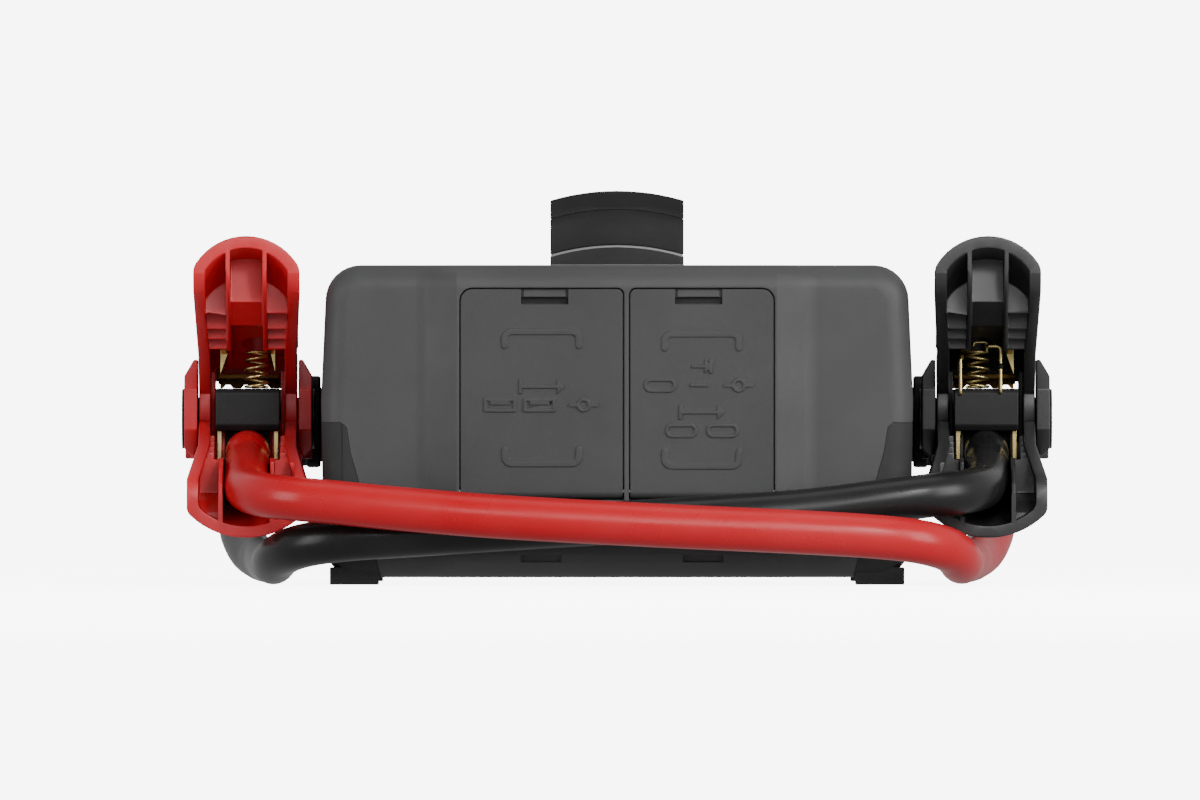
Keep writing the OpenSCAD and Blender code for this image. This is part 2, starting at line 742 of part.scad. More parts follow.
module usb_c_sockets() {
    shell = 0.4;
    for (p = usb_c_at) {
        color(steel) difference() {
            extrude_y(socket_y[0], socket_y[1]) rounded_rect([p[0] - usb_c[0] / 2, p[0] + usb_c[0] / 2],
                [p[1] - usb_c[1] / 2, p[1] + usb_c[1] / 2], usb_c[1] / 2 - fit);
            extrude_y(socket_y[0] - 1, socket_y[1] - 1) rounded_rect(
                [p[0] - usb_c[0] / 2 + shell, p[0] + usb_c[0] / 2 - shell],
                [p[1] - usb_c[1] / 2 + shell, p[1] + usb_c[1] / 2 - shell], usb_c[1] / 2 - shell - fit);
        }
        color(dark_grey) box([p[0] - 3.2, p[0] + 3.2], [socket_y[0] + 1, socket_y[1] - 0.5],
            [p[1] - 0.4, p[1] + 0.4]);
    }
}

module dc_sockets() {
    for (p = dc_at) {
        color(dark_grey) difference() {
            rod_y(socket_y[0] - 1, socket_y[1], p[0], p[1], dc_d / 2);
            rod_y(socket_y[0] - 2, socket_y[1] - 1, p[0], p[1], dc_d / 2 - 1.5);
        }
        color(brass) rod_y(socket_y[0] + 1, socket_y[1] - 0.5, p[0], p[1], 1.2);
    }
}

// Doors: the brackets and the plain signs for the sockets stand proud of the face
mark_w = 1.1;
mark_h = 4.8;
bracket_w = 27.3;
bracket_h = 6.9;
bracket_band = 2.1;
bracket_out = 20;
marks_left_z = door_z + 34.3;
marks_right_z = marks_left_z - 0.8;

module door_hinge_pin() {
    color(steel) rod_x(-opening_half - 2.4, opening_half + 2.4, hinge_y, hinge_z, hinge_pin_d / 2);
}

// Bracket: a bar with two short round-ended legs; up is 1 when the legs hang down
module bracket(x, z, up) {
    z_end = z - up * (bracket_h - bracket_band) / 2;
    zs = [z - bracket_h / 2 - (up > 0 ? 6 : 0), z + bracket_h / 2 + (up > 0 ? 0 : 6)];
    difference() {
        rounded_rect([x - bracket_w / 2, x + bracket_w / 2], zs, 3.5);
        rounded_rect([x - bracket_w / 2 + bracket_band, x + bracket_w / 2 - bracket_band],
            [zs[0] + bracket_band, zs[1] - bracket_band], 1.4);
        translate([x - bracket_w, up > 0 ? z_end - 20 : z_end]) square([2 * bracket_w, 20]);
    }
    for (s = [-1, 1]) translate([x + s * (bracket_w - bracket_band) / 2, z_end])
        circle(r = bracket_band / 2, $fn = 24);
}

// Arrow with a bar at its tail (bar = -1) or at its tip (bar = 1)
module arrow_mark(x, z, w, bar) {
    translate([x - w / 2, z - mark_w / 2]) square([w - 1, mark_w]);
    polygon([[x + w / 2 - 2.6, z - mark_h / 2], [x + w / 2, z], [x + w / 2 - 2.6, z + mark_h / 2]]);
    translate([x + bar * (w - mark_w) / 2 - mark_w / 2, z - mark_h / 2]) square([mark_w, mark_h]);
}

module ring_mark(x, z, w, r) {
    difference() {
        rounded_rect([x - w / 2, x + w / 2], [z - mark_h / 2, z + mark_h / 2], r);
        rounded_rect([x - w / 2 + mark_w, x + w / 2 - mark_w],
            [z - mark_h / 2 + mark_w, z + mark_h / 2 - mark_w], max(r - mark_w, 0.1));
    }
}

module flat_mark(x, z) {
    ring_mark(x, z, 11, 0.5);
    translate([x - 3.4, z]) square([6.8, mark_h / 2]);
}

module oval_mark(x, z) {
    ring_mark(x, z, 11, mark_h / 2 - 0.05);
}

module plug_mark(x, z) {
    ring_mark(x, z, mark_h, mark_h / 2 - 0.05);
    for (s = [-1, 1]) translate([x + s * (mark_h / 2 + 1.3) - 1.5, z - mark_w / 2]) square([3, mark_w]);
}

module left_marks(x, z) {
    arrow_mark(x, z + 3.7, 15.6, -1);
    flat_mark(x - 14.2, z - 2.5);
    flat_mark(x - 0.8, z - 2.5);
    plug_mark(x + 14.2, z - 2.5);
}

module right_marks(x, z) {
    arrow_mark(x, z + 11.4, 7, 1);
    oval_mark(x - 14.2, z + 5);
    translate([x - 4, z + 5 - mark_w / 2]) square([6, mark_w]);
    plug_mark(x + 12.5, z + 5);
    arrow_mark(x, z - 4.2, 15.6, -1);
    oval_mark(x - 7, z - 10.4);
    oval_mark(x + 7, z - 10.4);
}

notch_slab_h = 3.1;
notch_floor = 0.6;
module door(x, rs, notch_x, marks_z, left) {
    x0 = x[0] + door_gap;
    x1 = x[1] - door_gap;
    z1 = door_top - door_gap;
    mid = (x0 + x1) / 2;
    notch = [notch_x - notch_w / 2, notch_x + notch_w / 2];
    color(door_grey) {
        difference() {
            union() {
                extrude_y(face_y, front_y + door_t) polygon(door_outline([x0, x1], [hinge_z, z1], rs));
                rod_x(x0, x1, hinge_y, hinge_z, knuckle_r);
            }
            rod_x(x0 - 1, x1 + 1, hinge_y, hinge_z, hinge_pin_d / 2 + pin_fit);
            box(notch, [front_y - 1, front_y + 2], [door_top - notch_h, door_top + 1]);
            box(notch, [front_y - 1, front_y + door_t - notch_floor],
                [door_top - notch_h, door_top - notch_slab_h]);
        }
        extrude_x(notch[0] + 0.9, notch[1] - 0.9) polygon([
            [face_y + 0.3, door_top - notch_slab_h], [front_y + 2.5, door_top - notch_slab_h],
            [front_y + 2.5, z1], [face_y + 1.2, z1]]);
        extrude_y(front_y, face_y + eps) {
            bracket(mid, marks_z + bracket_out, 1);
            bracket(mid, marks_z - bracket_out, -1);
            if (left) left_marks(mid, marks_z);
            else right_marks(mid, marks_z);
        }
    }
}

module left_door() { door(left_door_x, left_door_rs, -24.6, marks_left_z, true); }
module right_door() { door(right_door_x, right_door_rs, 27.6, marks_right_z, false); }

// Controls on the top
button_gap = 0.35;
panel_mid_y = panel_y + panel_l / 2;
display_x = (button_xs[1] + button_r[1] + button_xs[2] - button_r[2]) / 2;
display_h = 20;

module control_panel() {
    color(dark_grey) difference() {
        box([-panel_w / 2 + 0.15, panel_w / 2 - 0.15], [panel_y + 0.15, panel_y + panel_l - 0.15],
            [top_z - panel_t, top_z - 0.2]);
        for (i = [0 : 2]) rod_z(top_z - panel_t - 1, top_z + 1, button_xs[i], panel_mid_y,
            button_r[i] + button_gap);
        box([display_x - display_w / 2, display_x + display_w / 2],
            [panel_mid_y - display_h / 2, panel_mid_y + display_h / 2],
            [top_z - panel_t - 1, top_z + 1]);
    }
}

module display_window() {
    color("black") box([display_x - display_w / 2 + fit, display_x + display_w / 2 - fit],
        [panel_mid_y - display_h / 2 + fit, panel_mid_y + display_h / 2 - fit],
            [top_z - panel_t, top_z - 0.5]);
}

module control_board() {
    switch_top = top_z - panel_t - 2 - button_travel - 0.3;
    color(board_green) box([-panel_w / 2 + 5, panel_w / 2 - 5], [panel_y + 5, panel_y + panel_l - 5],
        [board_z - board_t, board_z]);
    color(dark_grey) {
        for (x = button_xs) box([x - 3, x + 3], [panel_mid_y - 3, panel_mid_y + 3],
            [board_z - eps, switch_top]);
        box([display_x - display_w / 2 + 1, display_x + display_w / 2 - 1],
            [panel_mid_y - display_h / 2 + 1, panel_mid_y + display_h / 2 - 1],
                [board_z - eps, top_z - panel_t - 0.2]);
        for (x = [-panel_w / 2 + 7, panel_w / 2 - 7], y = [panel_y + 7, panel_y + panel_l - 7])
            rod_z(board_z - eps, top_z - panel_t, x, y, 1.5);
    }
}

module button(i) {
    r = button_r[i];
    translate([button_xs[i], panel_mid_y, 0]) rotate_extrude($fn = 64) polygon([
        [0, top_z - panel_t - 2], [r + button_flange, top_z - panel_t - 2],
            [r + button_flange, top_z - panel_t - 0.15],
        [r, top_z - panel_t - 0.15],
        [r, top_z - 0.9], [r - 0.7, top_z - 0.25], [0, top_z - 0.5]]);
}

module power_button() { color(dark_grey) button(0); }
module boost_button() { color(red) button(1); }
module lamp_button() { color(dark_grey) button(2); }

// Lamp at the rear
bowl_r = 15;
bowl_xs = [-36, 0, 36];
reflector_d = 18;
reflector_y = [rear_y - lens_t - reflector_d, rear_y - lens_t];
module lamp_lens() {
    color([0.85, 0.9, 0.95]) extrude_y(rear_y - lens_t, rear_y) rounded_rect(
        [-lamp_w / 2 + fit, lamp_w / 2 - fit], [lamp_z - lamp_h / 2 + fit, lamp_z + lamp_h / 2 - fit],
            8 - fit);
}

module lamp_reflector() {
    color(steel) difference() {
        box([-lamp_w / 2 + lens_lip + fit, lamp_w / 2 - lens_lip - fit], reflector_y,
            [lamp_z - lamp_h / 2 + lens_lip + fit, lamp_z + lamp_h / 2 - lens_lip - fit]);
        for (x = bowl_xs) translate([x, reflector_y[0] - 1, lamp_z]) rotate([-90, 0,
            0]) rotate_extrude($fn = 48)
            polygon(concat([[0, 0]], [for (i = [0 : 8]) let (t = i / 8) [5 + (bowl_r - 5) * sqrt(t),
                1 + reflector_d * t]],
                [[bowl_r, reflector_d + 2], [0, reflector_d + 2]]));
    }
}

module lamp_board() {
    y1 = reflector_y[0];
    color(board_green) box([-lamp_w / 2 + 6, lamp_w / 2 - 6], [y1 - board_t, y1],
        [lamp_z - lamp_h / 2 + 6, lamp_z + lamp_h / 2 - 6]);
    color([0.95, 0.9, 0.5]) for (x = bowl_xs) rod_y(y1 - eps, y1 + 2, x, lamp_z, 2.5);
}

// Battery and electronics in the lower case
tray_t = 2;
cell_pitch = cell_d + 0.6;
tray_x = [-cell_cols * cell_pitch / 2 - 1.5, cell_cols * cell_pitch / 2 + 1.5];
cell_rows_y = [[-74, -74 + cell_l], [-74 + cell_l + 4, -74 + 2 * cell_l + 4]];
tray_y = [cell_rows_y[0][0] - 2, cell_rows_y[1][1] + 2];
tray_z = base_z + 5;
cell_z = tray_z + tray_t + cell_d / 2;

module battery_tray() {
    color(dark_grey) difference() {
        box(tray_x, tray_y, [tray_z, tray_z + tray_t + cell_d * 0.6]);
        for (row = cell_rows_y) box([tray_x[0] + 1.5, tray_x[1] - 1.5], [row[0] - 0.2, row[1] + 0.2],
            [tray_z + tray_t, tray_z + 40]);
    }
}

module battery_cells() {
    color([0.20, 0.35, 0.55]) for (row = cell_rows_y, i = [0 : cell_cols - 1])
        rod_y(row[0], row[1], (i - (cell_cols - 1) / 2) * cell_pitch, cell_z, cell_d / 2);
}

shelf_z = cell_z + cell_d / 2;
board_x = [tray_x[0] + 11, tray_x[1] - 11];
board_y = [tray_y[0] + 6, tray_y[1] - 4];
sink_w = 26;
relay_x = [0, 44];
relay_y = [board_y[1] - 58, board_y[1] - 28];
module main_board() {
    color(board_green) box(board_x, board_y, [shelf_z, shelf_z + board_t]);
    color(steel) for (i = [0 : 10])
        box([board_x[0] + 6, board_x[0] + 6 + sink_w],
            [board_y[0] + 10 + i * 9, board_y[0] + 12 + i * 9],
            [shelf_z + board_t - eps, shelf_z + board_t + 14]);
    color(dark_grey) for (i = [0 : 2])
        rod_z(shelf_z + board_t - eps, shelf_z + board_t + 16, i * 22, board_y[0] + 30, 8);
}

module power_relay() {
    color(dark_grey) box(relay_x, relay_y, [shelf_z + board_t, shelf_z + board_t + 20]);
    color(brass) for (x = [relay_x[0] + 10, relay_x[1] - 10])
        rod_z(shelf_z + board_t + 20 - eps, shelf_z + board_t + 24, x, (relay_y[0] + relay_y[1]) / 2,
            3);
}

// Clamps: the pivot is at the origin, handles to -Y, jaws to +Y, the case lies on the +X side
tip = -handle_reach;
upper_tip_z = 58.9;
lower_tip_z = -43.6;
arm_in = 11.2;
arm_out = 16.7;
ear_in = arm_out + ear_gap;
ear_out = ear_in + ear_t;
arm_r = ear_r - 2;
rib_t = 1.5;
upper_rib_x = 6.2;
lower_rib_x = 8.7;
upper_ribs_z = [27.3, 23.9, 20.5];
block_y = [-28, -17];
block_z = [-7.3, 7.1];
spring_x = 3;
spring_y = -22.5;
spring_z = [block_z[1], 24.5];
mouth_z = 7;
cap_r = 10.2;
cap_t = 0.9;
cap_drop = 3.2;

// Side outlines: points run from the pivot to the tip along the rim, and back along the outside
function upper_rim() = [[-8, 2], [tip + 9, 36], [tip + 4, 39.5], [tip + 0.8, 43], [tip, 46],
    [tip + 0.3, upper_tip_z - 0.4]];
function upper_back() = [[tip + 1, upper_tip_z], [tip + 14, upper_tip_z], [tip + 18.5, upper_tip_z - 9],
    [tip + 23, upper_tip_z - 14], [-16, 25], [-8, ear_r + 1]];
function lower_rim() = [[-16, -4], [tip + 9, -20.5], [tip + 5, -22.6], [tip + 1.5, -25], [tip, -28],
    [tip + 0.3, lower_tip_z + 0.4]];
function lower_back() = [[tip + 1, lower_tip_z], [tip + 12, lower_tip_z], [tip + 20, lower_tip_z + 2],
    [-20, -29], [-12, -ear_r - 4]];

// End outlines, seen from the handle end: an arch with round shoulders over straight sides that
// draw in to w_low between z_side and z_low; q rounds the shoulders, s is 1 for up and -1 for down
arch_r = 20.4;
lower_arch_r = 27.5;
arch_steps = 8;
shoulder_r = 6;
lower_shoulder_r = 4;
hollow_shoulder_r = 2;
shoulder_steps = 4;
function tip_arch(w, r, q, z_top, z_side, z_low, w_low, s) = let (
    cz = z_top - r,
    fz = cz + sqrt(pow(r - q, 2) - pow(w - q, 2)),
    a_end = atan2(fz - cz, w - q),
    half = concat(
        [[w_low, -20], [w_low, z_low], [w, z_side]],
        [for (i = [0 : shoulder_steps]) let (a = a_end * i / shoulder_steps)
            [w - q + q * cos(a), fz + q * sin(a)]],
        [for (i = [1 : arch_steps]) let (a = a_end + (90 - a_end) * i / arch_steps)
            [r * cos(a), cz + r * sin(a)]]))
    concat([for (p = half) [p[0], s * p[1]]],
        [for (i = [len(half) - 2 : -1 : 0]) [-half[i][0], s * half[i][1]]]);

module upper_end() {
    polygon(tip_arch(grip_half, arch_r, shoulder_r, upper_tip_z, 40, ear_r + 1, arm_out, 1));
}

module lower_end(off) {
    polygon(tip_arch(lower_half_w - off, lower_arch_r - off, lower_shoulder_r, -lower_tip_z - off,
        23.6, 12.2, arm_out - off, -1));
}

// Hollow of the upper handle: its arch drops towards the given depth, then runs straight
function hollow_arch(drop) = tip_arch(
    grip_half - rim_t, arch_r - rim_t, hollow_shoulder_r, upper_tip_z - rim_t - drop,
    34, ear_r + 1, arm_out - rim_t, 1);
module upper_hollow(depth, drop) {
    extrude_y(tip - 2, tip + eps) polygon(hollow_arch(0));
    loft_y(tip, tip + depth, hollow_arch(0), hollow_arch(drop), 25);
    extrude_y(tip + depth - eps, -7) polygon(hollow_arch(drop));
}

// Solid between two outlines of equal count; each cap is a fan round the height z_mid
module loft_y(y0, y1, front, back, z_mid) {
    n = len(front);
    polyhedron(concat([for (p = front) [p[0], y0, p[1]]], [for (p = back) [p[0], y1, p[1]]],
        [[0, y0, z_mid], [0, y1, z_mid]]),
        [for (k = [0 : n - 1]) let (m = (k + 1) % n)
            each [[2 * n, m, k], [2 * n + 1, n + k, n + m], [k, m, n + m], [k, n + m, n + k]]],
        convexity = 10);
}

module disc(x0, x1, r) {
    rod_x(x0, x1, 0, 0, r);
}

jaw_tip = jaw_reach;
module upper_half(paint) {
    side = concat(upper_rim(), upper_back());
    mid_floor = [[-8, 13], [-16, 19], [tip + 28, 36], [tip + 27, 28.5], [tip + 24, 28.5],
        [tip + 10.5, 36.5], [tip + 14.5, 50], [tip + 14.8, upper_tip_z + 2],
        [tip - 5, upper_tip_z + 2], [tip - 5, 20], [-8, -10]];
    side_floor = [[-8, 13], [-16, 19], [tip + 20, 37], [tip + 19, 32.6], [tip + 16, 32.6],
        [tip + 17.3, 43], [tip + 17.8, upper_tip_z + 2],
        [tip - 5, upper_tip_z + 2], [tip - 5, 15], [-8, -14]];
    color(paint) difference() {
        union() {
            intersection() {
                extrude_x(-grip_half, grip_half) polygon(side);
                extrude_y(tip - 1, 1) upper_end();
            }
            for (s = [-1, 1]) disc(s < 0 ? -arm_out : arm_in, s < 0 ? -arm_in : arm_out, arm_r);
            for (s = [-1, 1]) extrude_x(s < 0 ? -arm_out : arm_in, s < 0 ? -arm_in : arm_out)
                polygon([[-12, 2], [14, mouth_z + 2], [18, mouth_z + 2], [18, ear_r + 1],
                    [-12, ear_r + 4]]);
            upper_jaw_shell();
        }
        difference() {
            intersection() {
                extrude_x(-grip_half, grip_half) polygon(mid_floor);
                upper_hollow(15, 3.8);
            }
            for (s = [-1, 1]) extrude_x(s < 0 ? -grip_half : upper_rib_x - rib_t / 2,
                s < 0 ? -upper_rib_x + rib_t / 2 : grip_half)
                polygon(side);
        }
        difference() {
            intersection() {
                extrude_x(-grip_half, grip_half) polygon(side_floor);
                upper_hollow(18, 10.4);
            }
            box([-upper_rib_x - rib_t / 2, upper_rib_x + rib_t / 2], [tip - 5, 0], [-30, 80]);
            for (z = upper_ribs_z) let (y = -8 - (z - 2) / 34 * (handle_reach - 17))
                box([-grip_half, grip_half], [y, y + 1.4], [z, 80]);
        }
        box([-arm_in, arm_in], [-9, 16], [-30, ear_r - 2]);
        extrude_x(-arm_in, arm_in) polygon([[-40, -10], [-40, 26.2], [-8, 13], [-8, -10]]);
        rod_z(10, spring_z[1] + 0.3, spring_x, spring_y, spring_d / 2 + 0.5);
        disc(-arm_out - 1, arm_out + 1, pivot_d / 2 + pin_fit);
        upper_jaw_space();
    }
}

// Jaw shells: tapered covers over the brass plates
jaw_shell_w = 13;
jaw_plate_z = 10.5;
jaw_in = 14;
module upper_jaw_shell() {
    intersection() {
        extrude_x(-jaw_shell_w, jaw_shell_w) polygon([[8, jaw_plate_z - 1],
            [jaw_tip - 2, jaw_plate_z - 1],
            [jaw_tip - 2, jaw_plate_z + 2], [jaw_tip - 12, jaw_plate_z + 6], [24, 21], [8, ear_r + 1]]);
        translate([0, 0, -30]) linear_extrude(80) polygon([[-jaw_shell_w, 0], [jaw_shell_w, 0],
            [jaw_shell_w, jaw_tip - 24], [jaw_shell_w - 3, jaw_tip - 1],
                [-jaw_shell_w + 3, jaw_tip - 1], [-jaw_shell_w, jaw_tip - 24]]);
    }
}

module upper_jaw_space() {
    box([-jaw_half - fit, jaw_half + fit], [jaw_in - fit, jaw_tip + 2],
        [-20, jaw_plate_z + jaw_plate_t]);
    box([-jaw_half + 1, jaw_half - 1], [20, jaw_tip - 14], [0, jaw_plate_z + jaw_plate_t + 3]);
}

module lower_jaw_shell() {
    intersection() {
        extrude_x(-jaw_shell_w, jaw_shell_w) polygon([[17, -ear_r], [jaw_tip - 20, -8],
            [jaw_tip - 2, 0],
            [jaw_tip - 2, 4.5], [17, 4.5]]);
        translate([0, 0, -40]) linear_extrude(80) polygon([[-jaw_shell_w, 0], [jaw_shell_w, 0],
            [jaw_shell_w, jaw_tip - 24], [jaw_shell_w - 3, jaw_tip - 1],
                [-jaw_shell_w + 3, jaw_tip - 1], [-jaw_shell_w, jaw_tip - 24]]);
    }
}

lower_plate_z = 3.5;
lower_space_y = -14.3;
strap_x = [8.9, 10.4];
strap_y = [-23, -18];
strap_z = -17;
module lower_half(paint) {
    side = concat(lower_rim(), lower_back());
    floor_line = [[lower_space_y, -23.3], [tip + 12, -37.5], [tip + 9, lower_tip_z + rim_t],
        [tip + 8, lower_tip_z - 4],
        [tip - 5, lower_tip_z - 4], [tip - 5, 0], [lower_space_y, 5]];
    side_floor = [[lower_space_y, -18], [tip + 14, -31], [tip + 9, -35], [tip + 8, lower_tip_z - 4],
        [tip - 5, lower_tip_z - 4], [tip - 5, 0], [lower_space_y, 5]];
    color(paint) difference() {
        union() {
            intersection() {
                extrude_x(-lower_half_w, lower_half_w) polygon(side);
                extrude_y(tip - 1, -11) lower_end(0);
            }
            for (s = [-1, 1]) ear(s);
            box([-ear_out + ear_slope, ear_out - ear_slope], [-14, 20], [-ear_r - 3, -ear_r + 1.4]);
            lower_jaw_shell();
            for (s = [-1, 1]) extrude_x(s < 0 ? -ear_out : jaw_shell_w - 1,
                s < 0 ? -jaw_shell_w + 1 : ear_out)
                polygon([[16.5, -ear_r], [26, -ear_r + 2], [26, 2], [16.5, 4]]);
            dock_pad();
        }
        difference() {
            intersection() {
                extrude_x(-lower_half_w, lower_half_w) polygon(floor_line);
                extrude_y(tip - 2, -14) lower_end(rim_t);
            }
            for (s = [-1, 1]) extrude_x(s < 0 ? -lower_half_w : lower_rib_x - rib_t / 2,
                s < 0 ? -lower_rib_x + rib_t / 2 : lower_half_w)
                polygon(side);
        }
        difference() {
            intersection() {
                extrude_x(-lower_half_w, lower_half_w) polygon(side_floor);
                extrude_y(tip - 2, -14) lower_end(rim_t);
            }
            box([-lower_rib_x - rib_t / 2, lower_rib_x + rib_t / 2], [tip - 5, 0], [-60, 10]);
            for (i = [0 : 4]) let (y = -26 - i * 7)
                box([-lower_half_w, lower_half_w], [y, y + 1.4], [-60, -9 - i * 1.9]);
        }
        box([lower_rib_x - rib_t, lower_half_w - rim_t], [tip - 5, tip + 17], [-36, 10]);
        box([-arm_in, arm_in], [block_y[0] - 0.3, lower_space_y], [block_z[0], 10]);
        box([-arm_in, arm_in], [-56, strap_y[1] + fit], [strap_z - fit, 10]);
        disc(-ear_out - 2, ear_out + 2, pivot_d / 2 + pin_fit);
        box([-jaw_half - fit, jaw_half + fit], [jaw_in + 3, jaw_tip + 2],
            [lower_plate_z - jaw_plate_t, 20]);
        box([-jaw_half + 1, jaw_half - 1], [22, jaw_tip - 16], [-4, 20]);
        translate([0, dock_at_y, dock_at_z]) rod_x(ear_out - 2 - spigot_l, ear_out + 30, 0, 0,
            spigot_r + fit);
    }
}

// Ear: an eight-sided plate beside the arm with sloped upper and lower outer edges
ear_slope = 3.2;
module ear(s) {
    k = ear_r * tan(22.5);
    intersection() {
        extrude_x(s < 0 ? -ear_out : ear_in, s < 0 ? -ear_in : ear_out)
            polygon([[-ear_r, -k], [-ear_r, k], [-k, ear_r], [k, ear_r], [ear_r, k], [ear_r, -k],
                [k, -ear_r], [-k, -ear_r]]);
        extrude_y(-ear_r - 1, ear_r + 1) polygon([
            [s * (ear_in - 1), -ear_r], [s * (ear_out - ear_slope), -ear_r],
                [s * ear_out, -ear_r + 3.6],
            [s * ear_out, ear_r - 5.6], [s * (ear_out - ear_slope), ear_r], [s * (ear_in - 1), ear_r]]);
    }
}

// Pad behind the ear that the dock's spigot enters
dock_at_y = (dock_y[0] + dock_y[1]) / 2 - pivot_y;
dock_at_z = (plate_z[0] + plate_z[1]) / 2 - pivot_z;
pad_x = clamp_x - case_w / 2 - plate_gap - plate_t;
module dock_pad() {
    difference() {
        box([jaw_shell_w - 1, pad_x], [dock_at_y - 11, dock_at_y + 11], [-ear_r + 1, 4]);
        translate([0, dock_at_y, dock_at_z]) rod_x(pad_x - spigot_l - 0.3, pad_x + 1, 0, 0,
            spigot_r + fit);
    }
}

module pivot_pin() {
    color(steel) disc(-ear_out - cap_t / 2, ear_out + cap_t / 2, pivot_d / 2);
    color(black) for (s = [-1, 1]) translate([0, 0, -cap_drop])
        disc(s < 0 ? -ear_out - cap_t : ear_out, s < 0 ? -ear_out : ear_out + cap_t, cap_r);
}

// End wall of a jaw plate with notches between its teeth; dir is 1 on the lower plate
notch_first = -7.8;
notch_pitch = 6.4;
tooth_gap_h = 1.2;
module teeth(dir) {
    edge = mouth_z - dir * 0.15;
    back = dir > 0 ? lower_plate_z - jaw_plate_t : jaw_plate_z + jaw_plate_t;
    extrude_y(jaw_tip - jaw_plate_t, jaw_tip) polygon(concat(
        [[jaw_half, back], [-jaw_half, back], [-jaw_half, edge]],
        [for (i = [0 : tooth_count - 1]) let (x = notch_first + i * notch_pitch)
            each [[x - 1.8, edge], [x - 0.8, edge - dir * tooth_gap_h],
                [x + 0.8, edge - dir * tooth_gap_h], [x + 1.8, edge]]],
        [[jaw_half, edge]]));
}

module jaw_plate(dir) {
    z = dir > 0 ? [lower_plate_z - jaw_plate_t, lower_plate_z] : [jaw_plate_z,
        jaw_plate_z + jaw_plate_t];
    y0 = dir > 0 ? jaw_in + 3 : jaw_in;
    color(brass) {
        box([-jaw_half, jaw_half], [y0, jaw_tip], z);
        teeth(dir);
        for (s = [-1, 1]) extrude_x(s < 0 ? -jaw_half : jaw_half - jaw_plate_t,
            s < 0 ? -jaw_half + jaw_plate_t : jaw_half)
            side_teeth(dir, y0 + 6);
        if (dir < 0) contact_strips();
    }
}

// Tapered strips under the slanted floor of the upper handle
strip_t = 0.8;
module contact_strips() {
    run = [-30, -10];
    drop = (26.2 - 13) / 32;
    top = 13 - 8 * drop - 0.1;
    for (s = [-1, 1]) intersection() {
        extrude_x(-arm_in + 0.4, arm_in - 0.4)
            polygon([for (p = [[run[0], 0], [run[1], 0], [run[1], -strip_t], [run[0], -strip_t]])
                [p[0], top - drop * p[0] + p[1]]]);
        translate([0, 0, -5]) linear_extrude(60) polygon([
            [s * 5.6, run[0] - 1], [s * 8.4, run[0] - 1], [s * 10.4, run[1] + 1],
                [s * 8.8, run[1] + 1]]);
    }
}

// Low saw teeth along the side of a jaw plate
module side_teeth(dir, y0) {
    n = 9;
    pitch = (jaw_tip - jaw_plate_t - y0) / n;
    z0 = dir > 0 ? lower_plate_z - eps : jaw_plate_z + eps;
    h = dir > 0 ? 2 : -2;
    polygon(concat([[y0, z0]], [for (i = [0 : n - 1]) each [[y0 + (i + 0.5) * pitch, z0 + h],
        [y0 + (i + 1) * pitch, z0 + h * 0.2]]],
        [[jaw_tip - jaw_plate_t, z0]]));
}

// Terminal block: holds the lead's end in the lower handle and seats the spring
lead_end_y = block_y[1] + 0.5;
module terminal_block() {
    color([0.19, 0.19, 0.2]) {
        extrude_x(-arm_in + 0.3, arm_in - 0.3) polygon([[block_y[0], block_z[0] + 2],
            [block_y[0] + 2, block_z[0]],
            [lead_end_y + 2, block_z[0]], [lead_end_y + 2, block_z[1]],
            [block_y[0] + 1.5, block_z[1]], [block_y[0], block_z[1] - 1.5]]);
        box([-7.5, 7.5], [lead_end_y, lead_end_y + 2], [-23.2, block_z[0] + 1]);
    }
}

// Brass straps under the block, joined to the lower jaw plate through the block
module straps() {
    color(brass) for (s = [-1, 1])
        box(s < 0 ? [-strap_x[1], -strap_x[0]] : strap_x, strap_y, [strap_z, block_z[0]]);
}

// Coil spring between the block and the upper handle, one unbroken tube
curl_rings = 8;
wire_sides = 6;
spring_r = (spring_d - spring_wire) / 2;
spring_low = spring_z[0] + spring_wire / 2;
spring_high = spring_z[1] - spring_wire / 2;
function spring_point(t) = [spring_r * cos(360 * t), spring_r * sin(360 * t),
    spring_low + (spring_high - spring_low) * t / spring_curls];
spring_path = [for (i = [0 : spring_curls * curl_rings]) spring_point(i / curl_rings)];
spring_gap = norm(spring_point(1) - spring_point(0)) - spring_wire;
echo(spring_gap = spring_gap);

// A tube swept along points: side faces and two flat ends
function tangent(p, i) = unit(i == 0 ? p[1] - p[0] : i == len(p) - 1 ? p[i] - p[i - 1]
    : unit(p[i + 1] - p[i]) + unit(p[i] - p[i - 1]));
function next_normal(p, i, n) = let (t = tangent(p, i)) unit(n - t * (n * t));
function normals(p, n0) = let (last = len(p) - 1)
    [for (i = 0, n = next_normal(p, 0, n0); i <= last; i = i + 1,
        n = i <= last ? next_normal(p, i, n) : n) n];
module tube(path, r, sides, n0) {
    ns = normals(path, n0);
    m = len(path);
    points = [for (i = [0 : m - 1]) let (t = tangent(path, i), b = cross(t, ns[i]))
        for (k = [0 : sides - 1]) path[i] + r * (cos(360 * k / sides) * ns[i] + sin(360 * k / sides) * b)];
    faces = [for (i = [0 : m - 2]) for (k = [0 : sides - 1]) let (k2 = (k + 1) % sides, a = i * sides,
        c = a + sides)
        each [[a + k, c + k, c + k2], [a + k, c + k2, a + k2]]];
    polyhedron(points, concat([[for (k = [0 : sides - 1]) k]], faces,
        [[for (k = [sides - 1 : -1 : 0]) (m - 1) * sides + k]]), convexity = 10);
}

module spring() {
    color(brass) translate([spring_x, spring_y, 0]) tube(spring_path, spring_wire / 2, wire_sides,
        [1, 0, 0]);
}

module at_left() { translate([-clamp_x, pivot_y, pivot_z]) children(); }
module at_right() { translate([clamp_x, pivot_y, pivot_z]) mirror([1, 0, 0]) children(); }

